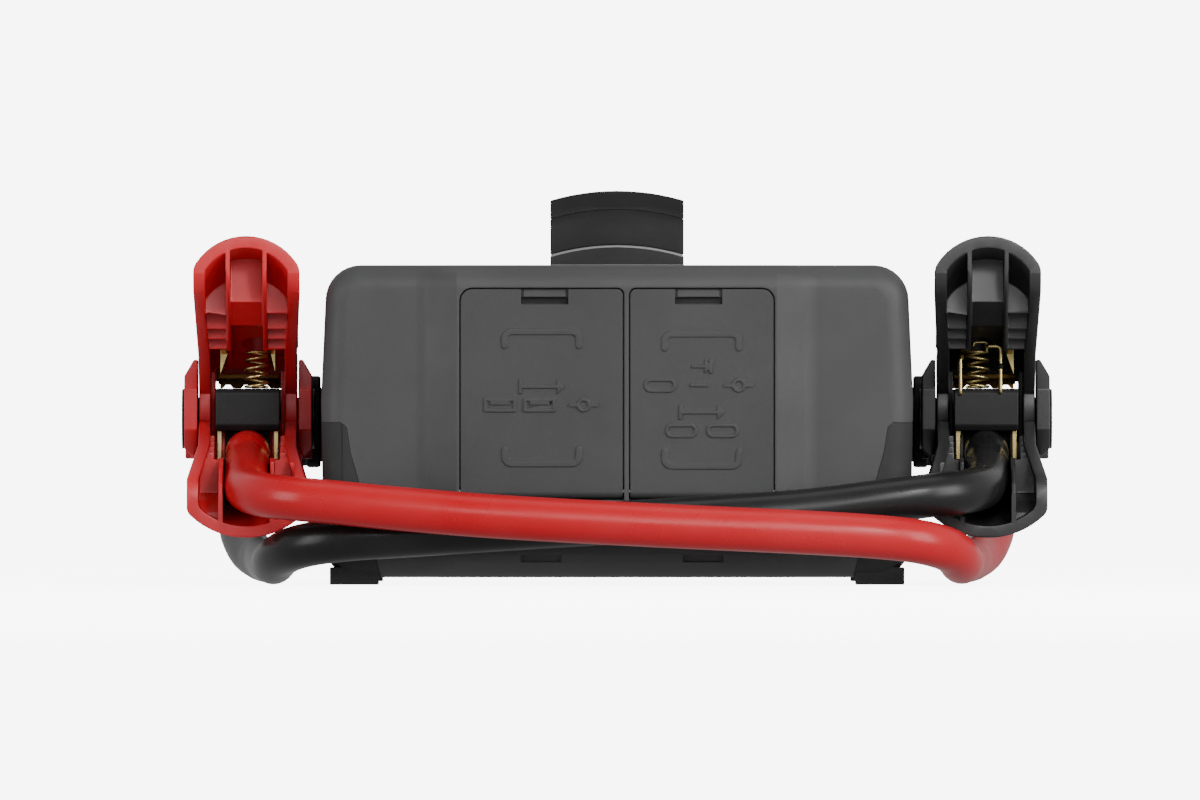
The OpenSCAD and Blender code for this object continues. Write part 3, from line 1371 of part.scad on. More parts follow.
module red_upper_half() { at_left() upper_half(red); }
module red_lower_half() { at_left() lower_half(red); }
module red_pivot_pin() { at_left() pivot_pin(); }
module red_spring() { at_left() spring(); }
module red_upper_jaw() { at_left() jaw_plate(-1); }
module red_lower_jaw() {
    at_left() jaw_plate(1);
    at_left() straps();
}
module red_terminal_block() { at_left() terminal_block(); }
module black_upper_half() { at_right() upper_half(black); }
module black_lower_half() { at_right() lower_half(black); }
module black_pivot_pin() { at_right() pivot_pin(); }
module black_spring() { at_right() spring(); }
module black_upper_jaw() { at_right() jaw_plate(-1); }
module black_lower_jaw() {
    at_right() jaw_plate(1);
    at_right() straps();
}
module black_terminal_block() { at_right() terminal_block(); }

// Leads: hand-set points from the boot, along the floor beside the case, round its front
// corner, across the doors and into the clamp of the other side. The red lead starts on the right.
floor_c = 7.6;
red_route = [
    [124, 60, 43.5], [128, 44, 35], [129.5, 30, 26], [129, 16, 18], [126, 0, 11.5], [122, -18, 8.5],
    [119, -38, floor_c], [117.5, -60, floor_c], [117, -85, floor_c], [117, -108, floor_c],
    [116.5, -125, 8.2], [112.5, -140, 11.8], [103, -150.5, 14.6], [88, -155, 16.4],
    [62, -156.5, 18], [11, -157, 20.4], [-40, -156, 23.2], [-75, -153.5, 26],
    [-95, -150.5, 28], [-108.5, -146.5, 29.2], [-117.5, -139, 30.2], [-123, -129, 31.2],
    [-125.7, -117, 32.6], [-125.9, -104, 35.2], [-125.9, -90, 38.8], [-125.9, -78, 42]];
black_route = [
    [-124, 60, 43.5], [-128, 44, 35], [-129.5, 30, 26], [-129, 16, 18], [-126, 0, 11.5],
        [-122, -18, 8.5],
    [-119, -38, floor_c], [-117.5, -60, floor_c], [-117, -85, floor_c], [-116.5, -105, floor_c],
    [-113.5, -120, 10.6], [-106, -132, 13.4], [-92, -138.5, 15.4], [-62, -140, 17.4],
    [-20, -140.5, 20], [20, -140.5, 22.2], [62, -140, 25], [92, -139.5, 28.6],
    [108, -137, 30.6], [118, -129.5, 31.6], [123.6, -118, 33], [125.7, -105, 35.4],
    [125.9, -90, 38.8], [125.9, -78, 42]];
lead_step = 1.4 * lead_d;
lead_sides = 10;

function blend_point(p, i, t) = let (
    n = len(p) - 1, a = p[max(i - 1, 0)], b = p[i], c = p[i + 1], d = p[min(i + 2, n)])
    0.5 * (2 * b + (c - a) * t + (2 * a - 5 * b + 4 * c - d) * t * t + (3 * b - a - 3 * c + d) * t * t * t);
function smooth_path(p) = concat([for (i = [0 : len(p) - 2])
    let (n = max(1, round(norm(p[i + 1] - p[i]) / lead_step)))
    for (k = [0 : n - 1]) blend_point(p, i, k / n)], [p[len(p) - 1]]);
function mirrored(v, side) = [v[0] * side, v[1], v[2]];
function lead_path(route, side) = let (
    start = mirrored(boot_end, side),
    out = mirrored(boot_dir, side),
    end = [-side * clamp_x, pivot_y + lead_end_y, pivot_z + lead_end_z])
    concat([start, start + out * lead_d / 2], smooth_path(route), [end - [0, lead_d, 0], end]);
lead_end_z = -14.8;
function run_length(p, i = 0) = i >= len(p) - 1 ? 0 : norm(p[i + 1] - p[i]) + run_length(p, i + 1);

red_path = lead_path(red_route, 1);
black_path = lead_path(black_route, -1);
echo(red_lead_length = run_length(red_path), black_lead_length = run_length(black_path),
    rings = [len(red_path), len(black_path)]);

module red_lead() { color(red) tube(red_path, lead_d / 2, lead_sides, [0, 0, 1]); }
module black_lead() { color(black) tube(black_path, lead_d / 2, lead_sides, [0, 0, 1]); }

module red_boot() { boot(); }
module black_boot() { mirror([1, 0, 0]) boot(); }

front_cover();
upper_case();
lower_case();
rear_cover();
front_left_bumper();
front_right_bumper();
rear_left_bumper();
rear_right_bumper();
handle_core();
handle_grip();
handle_screws();
case_screws();
port_panel();
port_board();
usb_a_sockets();
usb_c_sockets();
dc_sockets();
door_hinge_pin();
left_door();
right_door();
control_panel();
display_window();
control_board();
power_button();
boost_button();
lamp_button();
lamp_lens();
lamp_reflector();
lamp_board();
battery_cells();
battery_tray();
main_board();
power_relay();
left_dock();
right_dock();
red_boot();
black_boot();
red_upper_half();
red_lower_half();
red_pivot_pin();
red_spring();
red_upper_jaw();
red_lower_jaw();
red_terminal_block();
black_upper_half();
black_lower_half();
black_pivot_pin();
black_spring();
black_upper_jaw();
black_lower_jaw();
black_terminal_block();
red_lead();
black_lead();
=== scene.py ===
"""Jump starter pack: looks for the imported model, in metres, in the frame of the CAD.

X runs across the port face, Y from the port end to the lamp end, Z up from the floor.
"""
import math

import bmesh
import bpy
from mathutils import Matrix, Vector
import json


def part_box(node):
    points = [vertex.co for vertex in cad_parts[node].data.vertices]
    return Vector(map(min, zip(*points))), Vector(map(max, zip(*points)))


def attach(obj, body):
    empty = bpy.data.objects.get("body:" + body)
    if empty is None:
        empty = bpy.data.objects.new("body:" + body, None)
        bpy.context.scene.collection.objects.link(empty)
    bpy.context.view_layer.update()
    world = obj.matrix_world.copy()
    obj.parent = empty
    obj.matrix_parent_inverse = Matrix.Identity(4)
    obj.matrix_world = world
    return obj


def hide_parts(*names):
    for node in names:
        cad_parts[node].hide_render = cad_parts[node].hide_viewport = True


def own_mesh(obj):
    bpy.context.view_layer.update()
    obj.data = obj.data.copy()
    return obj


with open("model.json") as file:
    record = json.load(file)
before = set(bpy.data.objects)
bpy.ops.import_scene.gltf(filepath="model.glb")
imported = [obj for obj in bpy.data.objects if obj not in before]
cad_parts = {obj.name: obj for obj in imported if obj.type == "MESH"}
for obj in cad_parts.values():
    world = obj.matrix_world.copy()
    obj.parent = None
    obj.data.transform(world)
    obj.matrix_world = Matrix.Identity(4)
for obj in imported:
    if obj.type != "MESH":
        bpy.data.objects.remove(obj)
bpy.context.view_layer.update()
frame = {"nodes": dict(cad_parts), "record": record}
MM = 0.001

# ---------------------------------------------------------------- camera
PHOTO_WIDTH = 1200
PX_PER_MM = 2.95
VIEW_X = -5.8 * MM
VIEW_Z = 62.7 * MM
FRONT_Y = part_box("front_cover")[0][1]
VIEW_DISTANCE = 11.3
SENSOR = 36.0


def add_camera():
    """A long lens, level and square on, as in the photograph."""
    data = bpy.data.cameras.new("camera")
    data.sensor_width = SENSOR
    data.lens = SENSOR * VIEW_DISTANCE / (PHOTO_WIDTH / PX_PER_MM * MM)
    camera = bpy.data.objects.new("camera", data)
    camera.location = (VIEW_X, FRONT_Y - VIEW_DISTANCE, VIEW_Z)
    camera.rotation_euler = (math.radians(90), 0, 0)
    bpy.context.collection.objects.link(camera)
    bpy.context.scene.camera = camera


add_camera()


# ---------------------------------------------------------------- mesh helpers
def from_bmesh(name, bm):
    """A new object at the origin that shows this mesh."""
    mesh = bpy.data.meshes.new(name)
    bm.to_mesh(mesh)
    bm.free()
    piece = bpy.data.objects.new(name, mesh)
    bpy.context.collection.objects.link(piece)
    return piece


def frames_along(points, up):
    """(point, side, normal) at each point of a path, turned as little as possible."""
    out = []
    side = up.copy()
    for i, point in enumerate(points):
        before = points[max(i - 1, 0)]
        after = points[min(i + 1, len(points) - 1)]
        along = (after - before).normalized()
        side = (side - along * side.dot(along)).normalized()
        out.append((point, side, along.cross(side)))
    return out


def full_circle(count):
    """The angles of evenly spaced corners."""
    return [2 * math.pi * k / count for k in range(count)]


def join_rings(bm, rings):
    """Side faces from each ring of vertices to the next."""
    for near, far in zip(rings, rings[1:]):
        for k in range(len(near)):
            n = (k + 1) % len(near)
            bm.faces.new((near[k], far[k], far[n], near[n]))


def sweep(name, points, radius, sides, up=Vector((0, 0, 1))):
    """A smooth tube with flat ends along points."""
    bm = bmesh.new()
    rings = [[bm.verts.new(point + radius * (math.cos(a) * side + math.sin(a) * other))
              for a in full_circle(sides)] for point, side, other in frames_along(points, up)]
    join_rings(bm, rings)
    bm.faces.new(rings[0])
    bm.faces.new(list(reversed(rings[-1])))
    bmesh.ops.recalc_face_normals(bm, faces=bm.faces)
    for face in bm.faces:
        face.smooth = len(face.verts) == 4
    return from_bmesh(name, bm)


def blend_point(a, b, c, d, t):
    """A point between b and c on the curve through four points."""
    return 0.5 * (2 * b + (c - a) * t + (2 * a - 5 * b + 4 * c - d) * t ** 2
                  + (3 * b - a - 3 * c + d) * t ** 3)


def smooth_path(route, step):
    """Points every step along the curve through a route's points."""
    out = []
    last = len(route) - 1
    for i in range(last):
        a, b, c, d = route[max(i - 1, 0)], route[i], route[i + 1], route[min(i + 2, last)]
        count = max(1, round((c - b).length / step))
        out += [blend_point(a, b, c, d, k / count) for k in range(count)]
    return out + [route[last]]


# ---------------------------------------------------------------- leads
LEAD_D = 15 * MM
LEAD_STEP = 3 * MM
LEAD_SIDES = 32
BOOT_BASE = Vector((96.5, 100, 55)) * MM
BOOT_DIR = Vector((0.55, -0.80, -0.22)).normalized()
BOOT_L = 38 * MM
CLAMP_X = 125.9 * MM
PIVOT_Y = -42 * MM
PIVOT_Z = 59.5 * MM
# where a lead ends inside the lower handle of a clamp
LEAD_END = Vector((CLAMP_X, PIVOT_Y - 16.5 * MM, PIVOT_Z - 14.8 * MM))
# in millimetres, from below the boot, round the front, to the clamp of the other side
RED_ROUTE = [
    (124, 60, 43.5), (128, 44, 35), (129.5, 30, 26), (129, 16, 18), (126, 0, 11.5),
    (122, -18, 8.5), (119, -38, 7.7), (117.5, -60, 7.7), (117, -85, 7.7), (117, -108, 7.7),
    (116.5, -125, 8.2), (112.5, -140, 11.8), (103, -150.5, 14.6), (88, -155, 16.4),
    (62, -156.2, 18), (11, -156.6, 20.4), (-40, -155.8, 23.2), (-75, -153.5, 26),
    (-95, -150.5, 28), (-108.5, -146.5, 29.2), (-117.5, -139, 30.2), (-123, -129, 31.2),
    (-125.7, -117, 32.6), (-125.9, -104, 35.2), (-125.9, -90, 38.8), (-125.9, -78, 42)]
BLACK_ROUTE = [
    (-124, 60, 43.5), (-128, 44, 35), (-129.5, 30, 26), (-129, 16, 18), (-126, 0, 11.5),
    (-122, -18, 8.5), (-119, -38, 7.7), (-117.5, -60, 7.7), (-117, -85, 7.7),
    (-116.5, -105, 7.7), (-113.5, -120, 10.6), (-106, -132, 13.4), (-92, -138.5, 15.4),
    (-62, -140, 17.4), (-20, -140.5, 20), (20, -140.5, 22.2), (62, -140, 25),
    (92, -139.5, 28.6), (108, -137, 30.6), (118, -129.5, 31.6), (123.6, -118, 33),
    (125.7, -105, 35.4), (125.9, -90, 38.8), (125.9, -78, 42)]


def on_side(point, side):
    """The point itself for side 1, or its mirror image across the pack for side -1."""
    return Vector((point.x * side, point.y, point.z))


def lead(name, route, side):
    """One lead, from the end of its boot into the clamp of the other side."""
    start = on_side(BOOT_BASE + BOOT_DIR * BOOT_L, side)
    end = on_side(LEAD_END, -side)
    points = [start, start + on_side(BOOT_DIR, side) * LEAD_D / 2]
    points += [Vector(p) * MM for p in route]
    points += [end - Vector((0, LEAD_D, 0)), end]
    path = smooth_path(points, LEAD_STEP)
    piece = sweep(name, path, LEAD_D / 2, LEAD_SIDES)
    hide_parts(name.replace("_sheath", ""))
    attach(piece, "pack")
    return piece


red_sheath = lead("red_lead_sheath", RED_ROUTE, 1)
black_sheath = lead("black_lead_sheath", BLACK_ROUTE, -1)

# ---------------------------------------------------------------- materials
BLACK = (0, 0, 0, 1)
WHITE = (1, 1, 1, 1)
RAMP_STOPS = (0.3, 0.7)
LIGHTER = 0.16
FINE_GRAIN = 2600
COARSE_GRAIN = 910
DRAWN_LINES = 500
DRAWN_STRETCH = (1, 1, 14)
GLASS_IOR = 1.46


def srgb(r, g, b):
    """A colour given as the photograph shows it, as Blender's linear values."""
    return tuple(((c / 255 + 0.055) / 1.055) ** 2.4 if c > 10 else c / 255 / 12.92
                 for c in (r, g, b)) + (1,)


def mixed(colour, other, share):
    """A share of another colour in this one."""
    return tuple(a + (b - a) * share for a, b in zip(colour, other))


class Finish:
    """A node material that is built up from a shader and layers of procedural detail."""

    def __init__(self, name, roughness, metallic=0.0, specular=0.5):
        self.material = bpy.data.materials.new(name)
        self.material.use_nodes = True
        self.nodes = self.material.node_tree.nodes
        self.links = self.material.node_tree.links
        self.shader = self.nodes["Principled BSDF"]
        self.shader.inputs["Roughness"].default_value = roughness
        self.shader.inputs["Metallic"].default_value = metallic
        self.shader.inputs["Specular IOR Level"].default_value = specular
        self.coords = self.nodes.new("ShaderNodeTexCoord")
        self.normal = None

    def noise(self, scale, detail=2.0, stretch=(1, 1, 1), distortion=0.0):
        """Soft noise fixed to the piece; scale is in waves per metre."""
        mapping = self.nodes.new("ShaderNodeMapping")
        mapping.inputs["Scale"].default_value = stretch
        texture = self.nodes.new("ShaderNodeTexNoise")
        texture.inputs["Scale"].default_value = scale
        texture.inputs["Detail"].default_value = detail
        texture.inputs["Distortion"].default_value = distortion
        self.links.new(self.coords.outputs["Object"], mapping.inputs["Vector"])
        self.links.new(mapping.outputs["Vector"], texture.inputs["Vector"])
        return texture.outputs["Fac"]

    def cells(self, scale):
        """The distance to scattered points, scale of them per metre."""
        texture = self.nodes.new("ShaderNodeTexVoronoi")
        texture.inputs["Scale"].default_value = scale
        self.links.new(self.coords.outputs["Object"], texture.inputs["Vector"])
        return texture.outputs["Distance"]

    def ramp(self, value, low, high):
        """A value between 0 and 1 turned into a colour between low and high."""
        ramp = self.nodes.new("ShaderNodeValToRGB")
        for element, stop, colour in zip(ramp.color_ramp.elements, RAMP_STOPS, (low, high)):
            element.position = stop
            element.color = colour
        self.links.new(value, ramp.inputs["Fac"])
        return ramp.outputs["Color"]

    def colour(self, value, low, high):
        self.links.new(self.ramp(value, low, high), self.shader.inputs["Base Color"])

    def gloss(self, value, low, high):
        levels = [(v, v, v, 1) for v in (low, high)]
        self.links.new(self.ramp(value, *levels), self.shader.inputs["Roughness"])

    def bump(self, value, strength, depth):
        """One more layer of relief; depth is in metres."""
        node = self.nodes.new("ShaderNodeBump")
        node.inputs["Strength"].default_value = strength
        node.inputs["Distance"].default_value = depth
        self.links.new(value, node.inputs["Height"])
        if self.normal:
            self.links.new(self.normal, node.inputs["Normal"])
        self.normal = node.outputs["Normal"]
        self.links.new(self.normal, self.shader.inputs["Normal"])


def moulded(name, colour, roughness, grain=0.25, specular=0.5, variation=0.05):
    """A moulded plastic or rubber: spark-eroded grain, faint flow marks and uneven gloss."""
    finish = Finish(name, roughness, specular=specular)
    finish.colour(finish.noise(scale=22, detail=4, distortion=0.4),
                  low=mixed(colour, BLACK, variation),
                  high=mixed(colour, WHITE, variation * LIGHTER))
    finish.gloss(finish.noise(scale=60, detail=3),
                 low=roughness - 0.05, high=min(1, roughness + 0.06))
    finish.bump(finish.cells(FINE_GRAIN), strength=grain, depth=0.06 * MM)
    finish.bump(finish.noise(COARSE_GRAIN, detail=3), strength=grain * 0.6, depth=0.08 * MM)
    return finish.material


def plated(name, colour, roughness):
    """A metal with fine drawn lines and a slightly stained surface."""
    finish = Finish(name, roughness, metallic=1.0)
    finish.colour(finish.noise(scale=90, detail=4), low=mixed(colour, BLACK, 0.22), high=colour)
    finish.gloss(finish.noise(scale=240, detail=3), low=roughness - 0.08, high=roughness + 0.12)
    finish.bump(finish.noise(DRAWN_LINES, stretch=DRAWN_STRETCH), strength=0.15, depth=0.03 * MM)
    return finish.material


def sheath(name, colour, roughness):
    """A lead's soft sheath: smooth, with faint lengthwise waves and rubbed patches."""
    finish = Finish(name, roughness, specular=0.3)
    finish.colour(finish.noise(scale=16, detail=5),
                  low=mixed(colour, BLACK, 0.10), high=mixed(colour, WHITE, 0.015))
    finish.gloss(finish.noise(scale=45, detail=4), low=roughness - 0.06, high=roughness + 0.10)
    finish.bump(finish.noise(scale=900), strength=0.18, depth=0.05 * MM)
    finish.bump(finish.noise(scale=70), strength=0.25, depth=0.25 * MM)
    return finish.material


def glass(name, colour, roughness):
    """A clear moulded lens with slight waves."""
    finish = Finish(name, roughness)
    finish.shader.inputs["Base Color"].default_value = colour
    finish.shader.inputs["Transmission Weight"].default_value = 1.0
    finish.shader.inputs["IOR"].default_value = GLASS_IOR
    finish.bump(finish.noise(scale=30), strength=0.05, depth=0.2 * MM)
    return finish.material


MATERIALS = {
    "case_plastic": moulded("case_plastic", srgb(60, 60, 61), 0.52, specular=0.3),
    "door_plastic": moulded("door_plastic", srgb(54, 54, 55), 0.56, specular=0.3),
    "pedestal_plastic": moulded("pedestal_plastic", srgb(22, 22, 23), 0.50, specular=0.3),
    # painted highlight: a light grey for rounded edges, standing in for the light they catch
    "painted_edge_highlight": moulded("painted_edge_highlight", srgb(112, 112, 113), 0.40, specular=0.4),
    "dark_plastic": moulded("dark_plastic", srgb(16, 16, 17), 0.55, specular=0.2),
    "bumper_rubber": moulded("bumper_rubber", srgb(34, 34, 35), 0.66, grain=0.35, specular=0.3),
    "grip_rubber": moulded("grip_rubber", srgb(20, 20, 21), 0.60, grain=0.3, specular=0.2),
    "button_rubber": moulded("button_rubber", srgb(34, 34, 35), 0.62, specular=0.3),
    "red_plastic": moulded("red_plastic", srgb(198, 14, 28), 0.40, grain=0.12, variation=0.12),
    "black_plastic": moulded("black_plastic", srgb(36, 36, 37), 0.38, grain=0.12),
    "block_plastic": moulded("block_plastic", srgb(26, 26, 27), 0.55, specular=0.25),
    "pin_cap": moulded("pin_cap", srgb(16, 16, 17), 0.42, specular=0.3),
    "red_sheath": sheath("red_sheath", srgb(180, 0, 18), 0.28),
    "black_sheath": sheath("black_sheath", srgb(11, 11, 12), 0.26),
    "brass": plated("brass", srgb(226, 204, 140), 0.28),
    # painted shade: bronze darkened to stand in for the shade on jaw teeth deep inside the clamp
    "painted_shade_bronze": plated("painted_shade_bronze", srgb(112, 84, 44), 0.42),
    "steel": plated("steel", srgb(170, 172, 176), 0.35),
    "mirror": plated("mirror", srgb(225, 227, 230), 0.10),
    "board": moulded("board", srgb(30, 76, 48), 0.40, grain=0.1),
    "cell_can": moulded("cell_can", srgb(46, 76, 116), 0.40, grain=0.1),
    "lens": glass("lens", (0.92, 0.95, 0.97, 1), 0.08),
    "display": moulded("display", srgb(12, 12, 14), 0.10, grain=0.02),
}


def paint(piece, slot_name):
    """One material for the whole piece."""
    piece.data.materials.clear()
    piece.data.materials.append(MATERIALS[slot_name])


NODE_SLOTS = {part["node"]: part["material_slot"] for part in frame["record"]["subparts"]}
for node_name, node_object in frame["nodes"].items():
    for material_slot in node_object.material_slots:
        material_slot.material = MATERIALS[NODE_SLOTS[node_name]]
paint(red_sheath, "red_sheath")
paint(black_sheath, "black_sheath")

# ---------------------------------------------------------------- dressed copies of the CAD nodes
SMOOTH_ANGLE = math.radians(32)
SHARP_ANGLE = math.radians(28)
FLAT_ANGLE = math.radians(0.6)
STRAIGHT = math.cos(math.radians(40))
WELD = 1e-6
SHORTEST_EDGE = 1e-5
NO_LENGTH = 1e-7
BEVEL_ROOM = 2.2
# in millimetres: where the handle's pedestals rise from the case, and their rounding
PEDESTAL_FOOT = 108.6
PEDESTAL_EDGE = 0.8
BODY_OF = {node: body for body, nodes in frame["record"]["behaviour"]["bodies"].items()
           for node in nodes}
# width of the rounded edges, in millimetres
DRESSED = {
    "front_cover": 0.3, "upper_case": 0.3, "lower_case": 0.3, "rear_cover": 0.3,
    "front_left_bumper": 0.3, "front_right_bumper": 0.3,
    "rear_left_bumper": 0.3, "rear_right_bumper": 0.3,
    "handle_core": 0.4, "handle_grip": 0.4, "left_door": 0.22, "right_door": 0.22,
    "left_dock": 0.8, "right_dock": 0.8, "red_boot": 0.4, "black_boot": 0.4,
    "red_upper_half": 0.5, "red_lower_half": 0.5, "red_upper_jaw": 0.2, "red_lower_jaw": 0.2,
    "red_terminal_block": 0.5, "red_pivot_pin": 0.3,
    "black_upper_half": 0.5, "black_lower_half": 0.5,
    "black_upper_jaw": 0.2, "black_lower_jaw": 0.2,
    "black_terminal_block": 0.5, "black_pivot_pin": 0.3,
    "control_panel": 0.2, "display_window": 0.15, "lamp_lens": 0.4,
}


def has_room(edge, width):
    """Whether the edges that leave this edge's ends are long enough for the rounding."""
    for vert in edge.verts:
        along = (edge.other_vert(vert).co - vert.co).normalized()
        for other in vert.link_edges:
            if other is edge:
                continue
            onward = vert.co - other.other_vert(vert).co
            if onward.length < NO_LENGTH or onward.normalized().dot(along) > STRAIGHT:
                continue
            if other.calc_length() < BEVEL_ROOM * width:
                return False
    return True


def round_edges(bm, width, segments, above=-1.0):
    """Round the sharp edges that have room for it and lie above a height, in millimetres."""
    chosen = [e for e in bm.edges
              if e.is_manifold and e.calc_face_angle(0) > SHARP_ANGLE
              and e.calc_length() > SHORTEST_EDGE and has_room(e, width * MM)
              and min(v.co.z for v in e.verts) > above * MM]
    if chosen:
        bmesh.ops.bevel(bm, geom=chosen, offset=width * MM, offset_type="OFFSET",
                        segments=segments, profile=0.5, affect="EDGES", clamp_overlap=False)


def dress(node, width):
    """A copy of a node with rounded edges that catch the light, in place of the node."""
    source = frame["nodes"][node]
    bm = bmesh.new()
    bm.from_mesh(source.data)
    bmesh.ops.transform(bm, matrix=source.matrix_world, verts=bm.verts)
    bmesh.ops.remove_doubles(bm, verts=bm.verts, dist=WELD)
    bmesh.ops.dissolve_limit(bm, angle_limit=FLAT_ANGLE, verts=bm.verts, edges=bm.edges)
    if node == "upper_case":
        round_edges(bm, PEDESTAL_EDGE, segments=3, above=PEDESTAL_FOOT)
    round_edges(bm, width, segments=2)
    bmesh.ops.triangulate(bm, faces=[f for f in bm.faces if len(f.verts) > 4])
    for face in bm.faces:
        face.smooth = True
    for edge in bm.edges:
        edge.smooth = edge.is_manifold and edge.calc_face_angle(0) < SMOOTH_ANGLE
    piece = from_bmesh(node + "_dressed", bm)
    weighted = piece.modifiers.new("weighted", "WEIGHTED_NORMAL")
    weighted.keep_sharp = True
    paint(piece, NODE_SLOTS[node])
    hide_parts(node)
    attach(piece, BODY_OF[node])
    return piece


dressed = {node: dress(node, width) for node, width in DRESSED.items()}

# ---------------------------------------------------------------- faces in a second material
EDGE_TILT = 0.2
LEVEL = 0.93
FACING = 0.9
NOTCH_FLOOR = 2.2 * MM
GRIP_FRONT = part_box("handle_grip")[0][1]
GRIP_EDGE = 2 * MM
STRAPS_END = PIVOT_Y - 7 * MM


def pedestal_face(centre, normal):
    """The handle's pedestals are darker than their case, with a painted highlight along their
    rounded edges.
    """
    if centre.z <= PEDESTAL_FOOT * MM:
        return 0
    return 2 if EDGE_TILT < normal.z < LEVEL and abs(normal.y) > EDGE_TILT else 1


def notch_shade_face(centre, normal):
    """The floor of a door's pull notch gets dark plastic: painted shade under the slab above it.
    """
    return int(normal.y < -FACING and centre.y > FRONT_Y + NOTCH_FLOOR)


def grip_face(centre, normal):
    """The lower front edge of the grip gets a painted highlight."""
    return int(normal.z < -EDGE_TILT and normal.y < -EDGE_TILT
               and centre.y < GRIP_FRONT + GRIP_EDGE)


def strap_face(centre, normal):
    """The teeth of a jaw plate get a darker bronze than its straps: painted shade for their place
    deep inside the clamp.
    """
    return int(centre.y > STRAPS_END)


def add_materials(node, slot_names, number_of):
    """More materials on a dressed node; number_of gives a face the number of its own."""
    mesh = dressed[node].data
    for slot_name in slot_names:
        mesh.materials.append(MATERIALS[slot_name])
    for polygon in mesh.polygons:
        polygon.material_index = number_of(polygon.center, polygon.normal)


add_materials("upper_case", ["pedestal_plastic", "painted_edge_highlight"], pedestal_face)
for door in ("left_door", "right_door"):
    add_materials(door, ["dark_plastic"], notch_shade_face)
add_materials("handle_grip", ["painted_edge_highlight"], grip_face)
for jaw in ("red_upper_jaw", "red_lower_jaw", "black_upper_jaw", "black_lower_jaw"):
    add_materials(jaw, ["painted_shade_bronze"], strap_face)

# ---------------------------------------------------------------- springs and wires of the clamps
# in millimetres, with x measured from the middle of the clamp towards the case
COIL_AT = (3.0, -64.5)
COIL_R = 3.7
COIL_LOW = 67.1
COIL_HIGH = 79.2
COIL_TURNS = 5
COIL_STEPS = 24
COIL_END = 0.12
COIL_END_RISE = 0.1
COIL_WIRE = 0.5
WIRE_SIDES = 12
WIRE_STEP = 0.5 * MM
WIRE_UP = Vector((1, 0, 0.01))
WIRES = [
    (0.7, [(8.9, -69.2, 64.6), (8.9, -70.5, 65.0), (8.9, -70.7, 66.0), (8.9, -70.7, 71.0),
           (8.9, -70.7, 75.8), (8.7, -70.4, 76.9), (8.2, -69.4, 77.5)]),
    (0.65, [(-4.8, -69.2, 65.0), (-4.8, -70.5, 65.4), (-4.8, -70.7, 66.4), (-4.8, -70.7, 72.0),
            (-4.8, -70.7, 79.8), (-4.4, -70.7, 80.7), (-3.4, -70.7, 81.0), (-0.6, -70.6, 81.0),
            (0.2, -69.8, 81.0)]),
    (0.5, [(4.4, -66.8, 80.9), (4.3, -66.8, 82.0), (3.9, -66.8, 82.4), (0.2, -66.8, 82.4),
           (-0.2, -66.8, 82.0), (-0.2, -66.8, 79.4), (-0.4, -66.6, 78.9)]),
]
GUSSETS = [[(7.6, 79.8), (9.3, 79.8), (9.3, 72.6)], [(-6.4, 79.8), (-9.3, 71.6), (-9.3, 79.8)]]
GUSSET_Y = (-66.2, -65.6)
CLIP = (0.95, [(-4.8, -70.7, 73.3), (-4.8, -70.7, 75.2)])


def beside(point, side):
    """A point of the clamp of one side, in metres."""
    return Vector((side * (CLAMP_X - point[0] * MM), point[1] * MM, point[2] * MM))


def coil_points():
    """The spring: close turns at its ends and open turns between them."""
    steps = COIL_TURNS * COIL_STEPS
    out = []
    for i in range(steps + 1):
        t = i / steps
        opened = min(1, max(0, (t - COIL_END) / (1 - 2 * COIL_END)))
        rise = opened * (1 - COIL_END_RISE) + COIL_END_RISE * t
        turn = 2 * math.pi * COIL_TURNS * t
        out.append((COIL_AT[0] + COIL_R * math.cos(turn), COIL_AT[1] + COIL_R * math.sin(turn),
                    COIL_LOW + (COIL_HIGH - COIL_LOW) * rise))
    return out


def gusset(name, outline, side):
    """A small sheet brass gusset, given by three corners seen from the handle end."""
    bm = bmesh.new()
    ends = [[bm.verts.new(beside((x, y, z), side)) for x, z in outline] for y in GUSSET_Y]
    for end in ends:
        bm.faces.new(end)
    join_rings(bm, ends)
    bmesh.ops.recalc_face_normals(bm, faces=bm.faces)
    return from_bmesh(name, bm)


def on_clamp(piece, slot_name):
    """Paint a piece of a clamp and attach it to the pack, with a mesh of its own."""
    paint(piece, slot_name)
    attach(piece, "pack")
    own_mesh(piece)


def clamp_wires(colour, side):
    """The coil and gussets of one clamp, and the wires and clip of the black one."""
    runs = [("coil", COIL_WIRE, coil_points(), None, "brass")]
    gussets = GUSSETS
    if colour == "black":
        runs += [("wire_%d" % (i + 1), r, points, WIRE_STEP, "brass")
                 for i, (r, points) in enumerate(WIRES)]
        runs.append(("clip", *CLIP, None, "dark_plastic"))
        gussets = GUSSETS[1:]
    for part, r, points, step, slot_name in runs:
        path = [beside(p, side) for p in points]
        if step:
            path = smooth_path(path, step)
        piece = sweep("%s_%s" % (colour, part), path, r * MM, WIRE_SIDES, WIRE_UP)
        if part == "coil":
            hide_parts(colour + "_spring")
        on_clamp(piece, slot_name)
    for i, outline in enumerate(gussets):
        piece = gusset("%s_gusset_%d" % (colour, i + 1), outline, side)
        on_clamp(piece, "brass")


clamp_wires("red", -1)
clamp_wires("black", 1)

# ---------------------------------------------------------------- floor and light
FLOOR_R = 36.0
FLOOR_BEND = 2.0
FLOOR_BEND_STEPS = 12
FLOOR_RISE = 4.0
FLOOR_SIDES = 96
FLOOR_GLOW = 7.0
# level of the world, by the height looked at: 0 is straight down, 0.5 level and 1 straight up
WORLD_STOPS = ((0.25, 0.50), (0.50, 0.54), (0.74, 0.70), (0.95, 0.30))
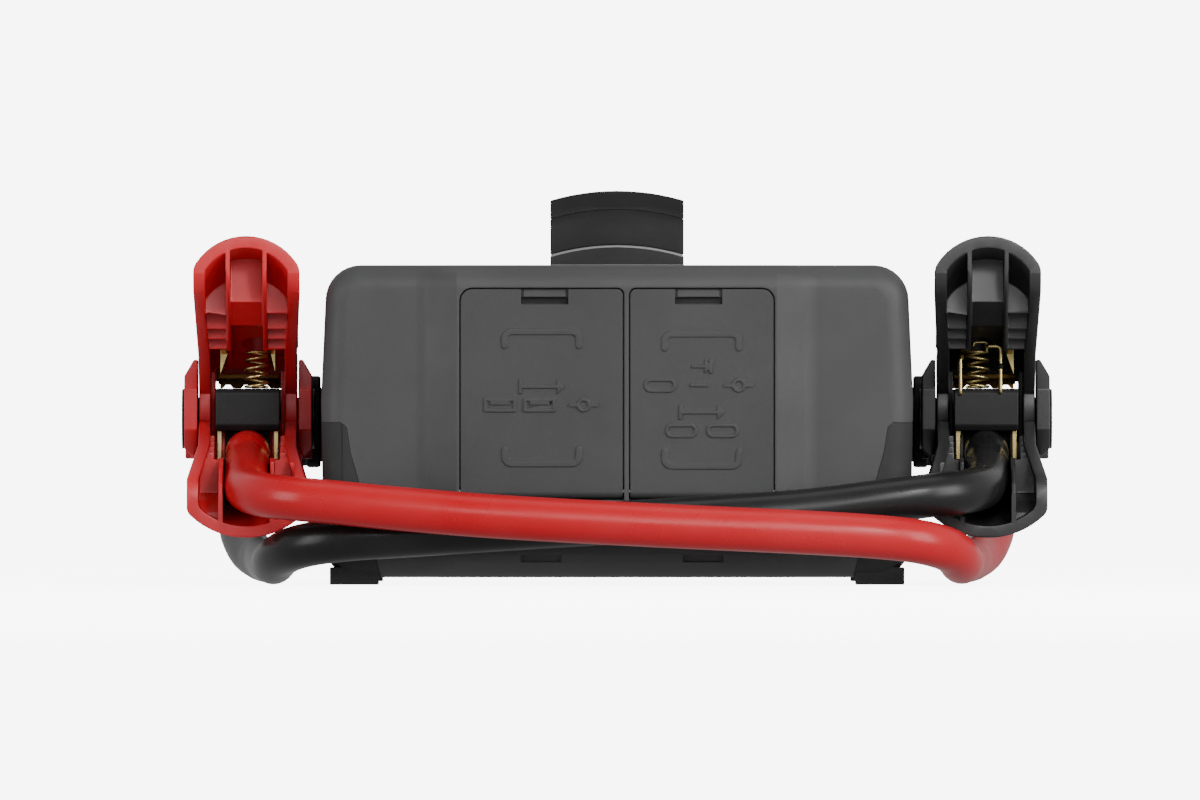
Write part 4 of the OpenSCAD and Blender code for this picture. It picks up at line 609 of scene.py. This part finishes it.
# name, place, aim, size and watts
LIGHTS = (
    ("front", (0.4, -2.6, 0.95), (0, 0, 0.06), (1.6, 0.8), 20),
    ("key", (0.5, -1.6, 1.0), (0, 0, 0.06), (0.25, 0.25), 11),
    ("left", (-1.3, -0.9, 0.35), (0, -0.1, 0.07), (0.7, 0.9), 9),
    ("right", (1.1, -0.9, 0.45), (0.05, -0.1, 0.07), (0.7, 0.9), 16),
    ("top", (0, -0.1, 1.6), (0, 0, 0.1), (1.2, 0.8), 3),
)


def add_world():
    """Soft studio surroundings: brightest above the horizon, dimmer below it and overhead."""
    world = bpy.data.worlds.new("studio")
    world.use_nodes = True
    nodes, links = world.node_tree.nodes, world.node_tree.links
    coords = nodes.new("ShaderNodeTexCoord")
    split = nodes.new("ShaderNodeSeparateXYZ")
    level = nodes.new("ShaderNodeMapRange")
    level.inputs["From Min"].default_value = -1
    ramp = nodes.new("ShaderNodeValToRGB")
    while len(ramp.color_ramp.elements) < len(WORLD_STOPS):
        ramp.color_ramp.elements.new(0.5)
    for element, (stop, value) in zip(ramp.color_ramp.elements, WORLD_STOPS):
        element.position = stop
        element.color = (value, value, value, 1)
    links.new(coords.outputs["Generated"], split.inputs["Vector"])
    links.new(split.outputs["Z"], level.inputs["Value"])
    links.new(level.outputs["Result"], ramp.inputs["Fac"])
    links.new(ramp.outputs["Color"], nodes["Background"].inputs["Color"])
    nodes["Background"].inputs["Strength"].default_value = 1.0
    bpy.context.scene.world = world


def add_floor():
    """A plain pale floor whose rim sweeps up all round, further out than any camera stands."""
    bends = [math.radians(90) * k / FLOOR_BEND_STEPS for k in range(FLOOR_BEND_STEPS + 1)]
    profile = [(FLOOR_R + FLOOR_BEND * math.sin(a), FLOOR_BEND * (1 - math.cos(a)))
               for a in bends]
    profile.append((FLOOR_R + FLOOR_BEND, FLOOR_RISE))
    bm = bmesh.new()
    rings = [[bm.verts.new((r * math.cos(a), r * math.sin(a), z))
              for a in full_circle(FLOOR_SIDES)] for r, z in profile]
    bm.faces.new(rings[0])
    join_rings(bm, rings)
    for face in bm.faces:
        face.smooth = True
    floor = from_bmesh("floor", bm)
    finish = Finish("floor", 0.9)
    finish.colour(finish.noise(scale=0.8), low=(0.90, 0.90, 0.90, 1), high=(0.91, 0.91, 0.91, 1))
    finish.shader.inputs["Emission Color"].default_value = WHITE
    finish.shader.inputs["Emission Strength"].default_value = FLOOR_GLOW
    floor.data.materials.append(finish.material)
    floor.visible_diffuse = False
    floor.visible_glossy = False
    floor.visible_shadow = False


def area_light(name, place, aim, size, watts):
    """A soft rectangular lamp that points at its aim."""
    data = bpy.data.lights.new(name, "AREA")
    data.shape = "RECTANGLE"
    data.size, data.size_y = size
    data.energy = watts
    lamp = bpy.data.objects.new(name, data)
    lamp.location = place
    lamp.rotation_euler = (Vector(aim) - Vector(place)).to_track_quat("-Z", "Y").to_euler()
    bpy.context.collection.objects.link(lamp)


add_world()
add_floor()
for light in LIGHTS:
    area_light(*light)
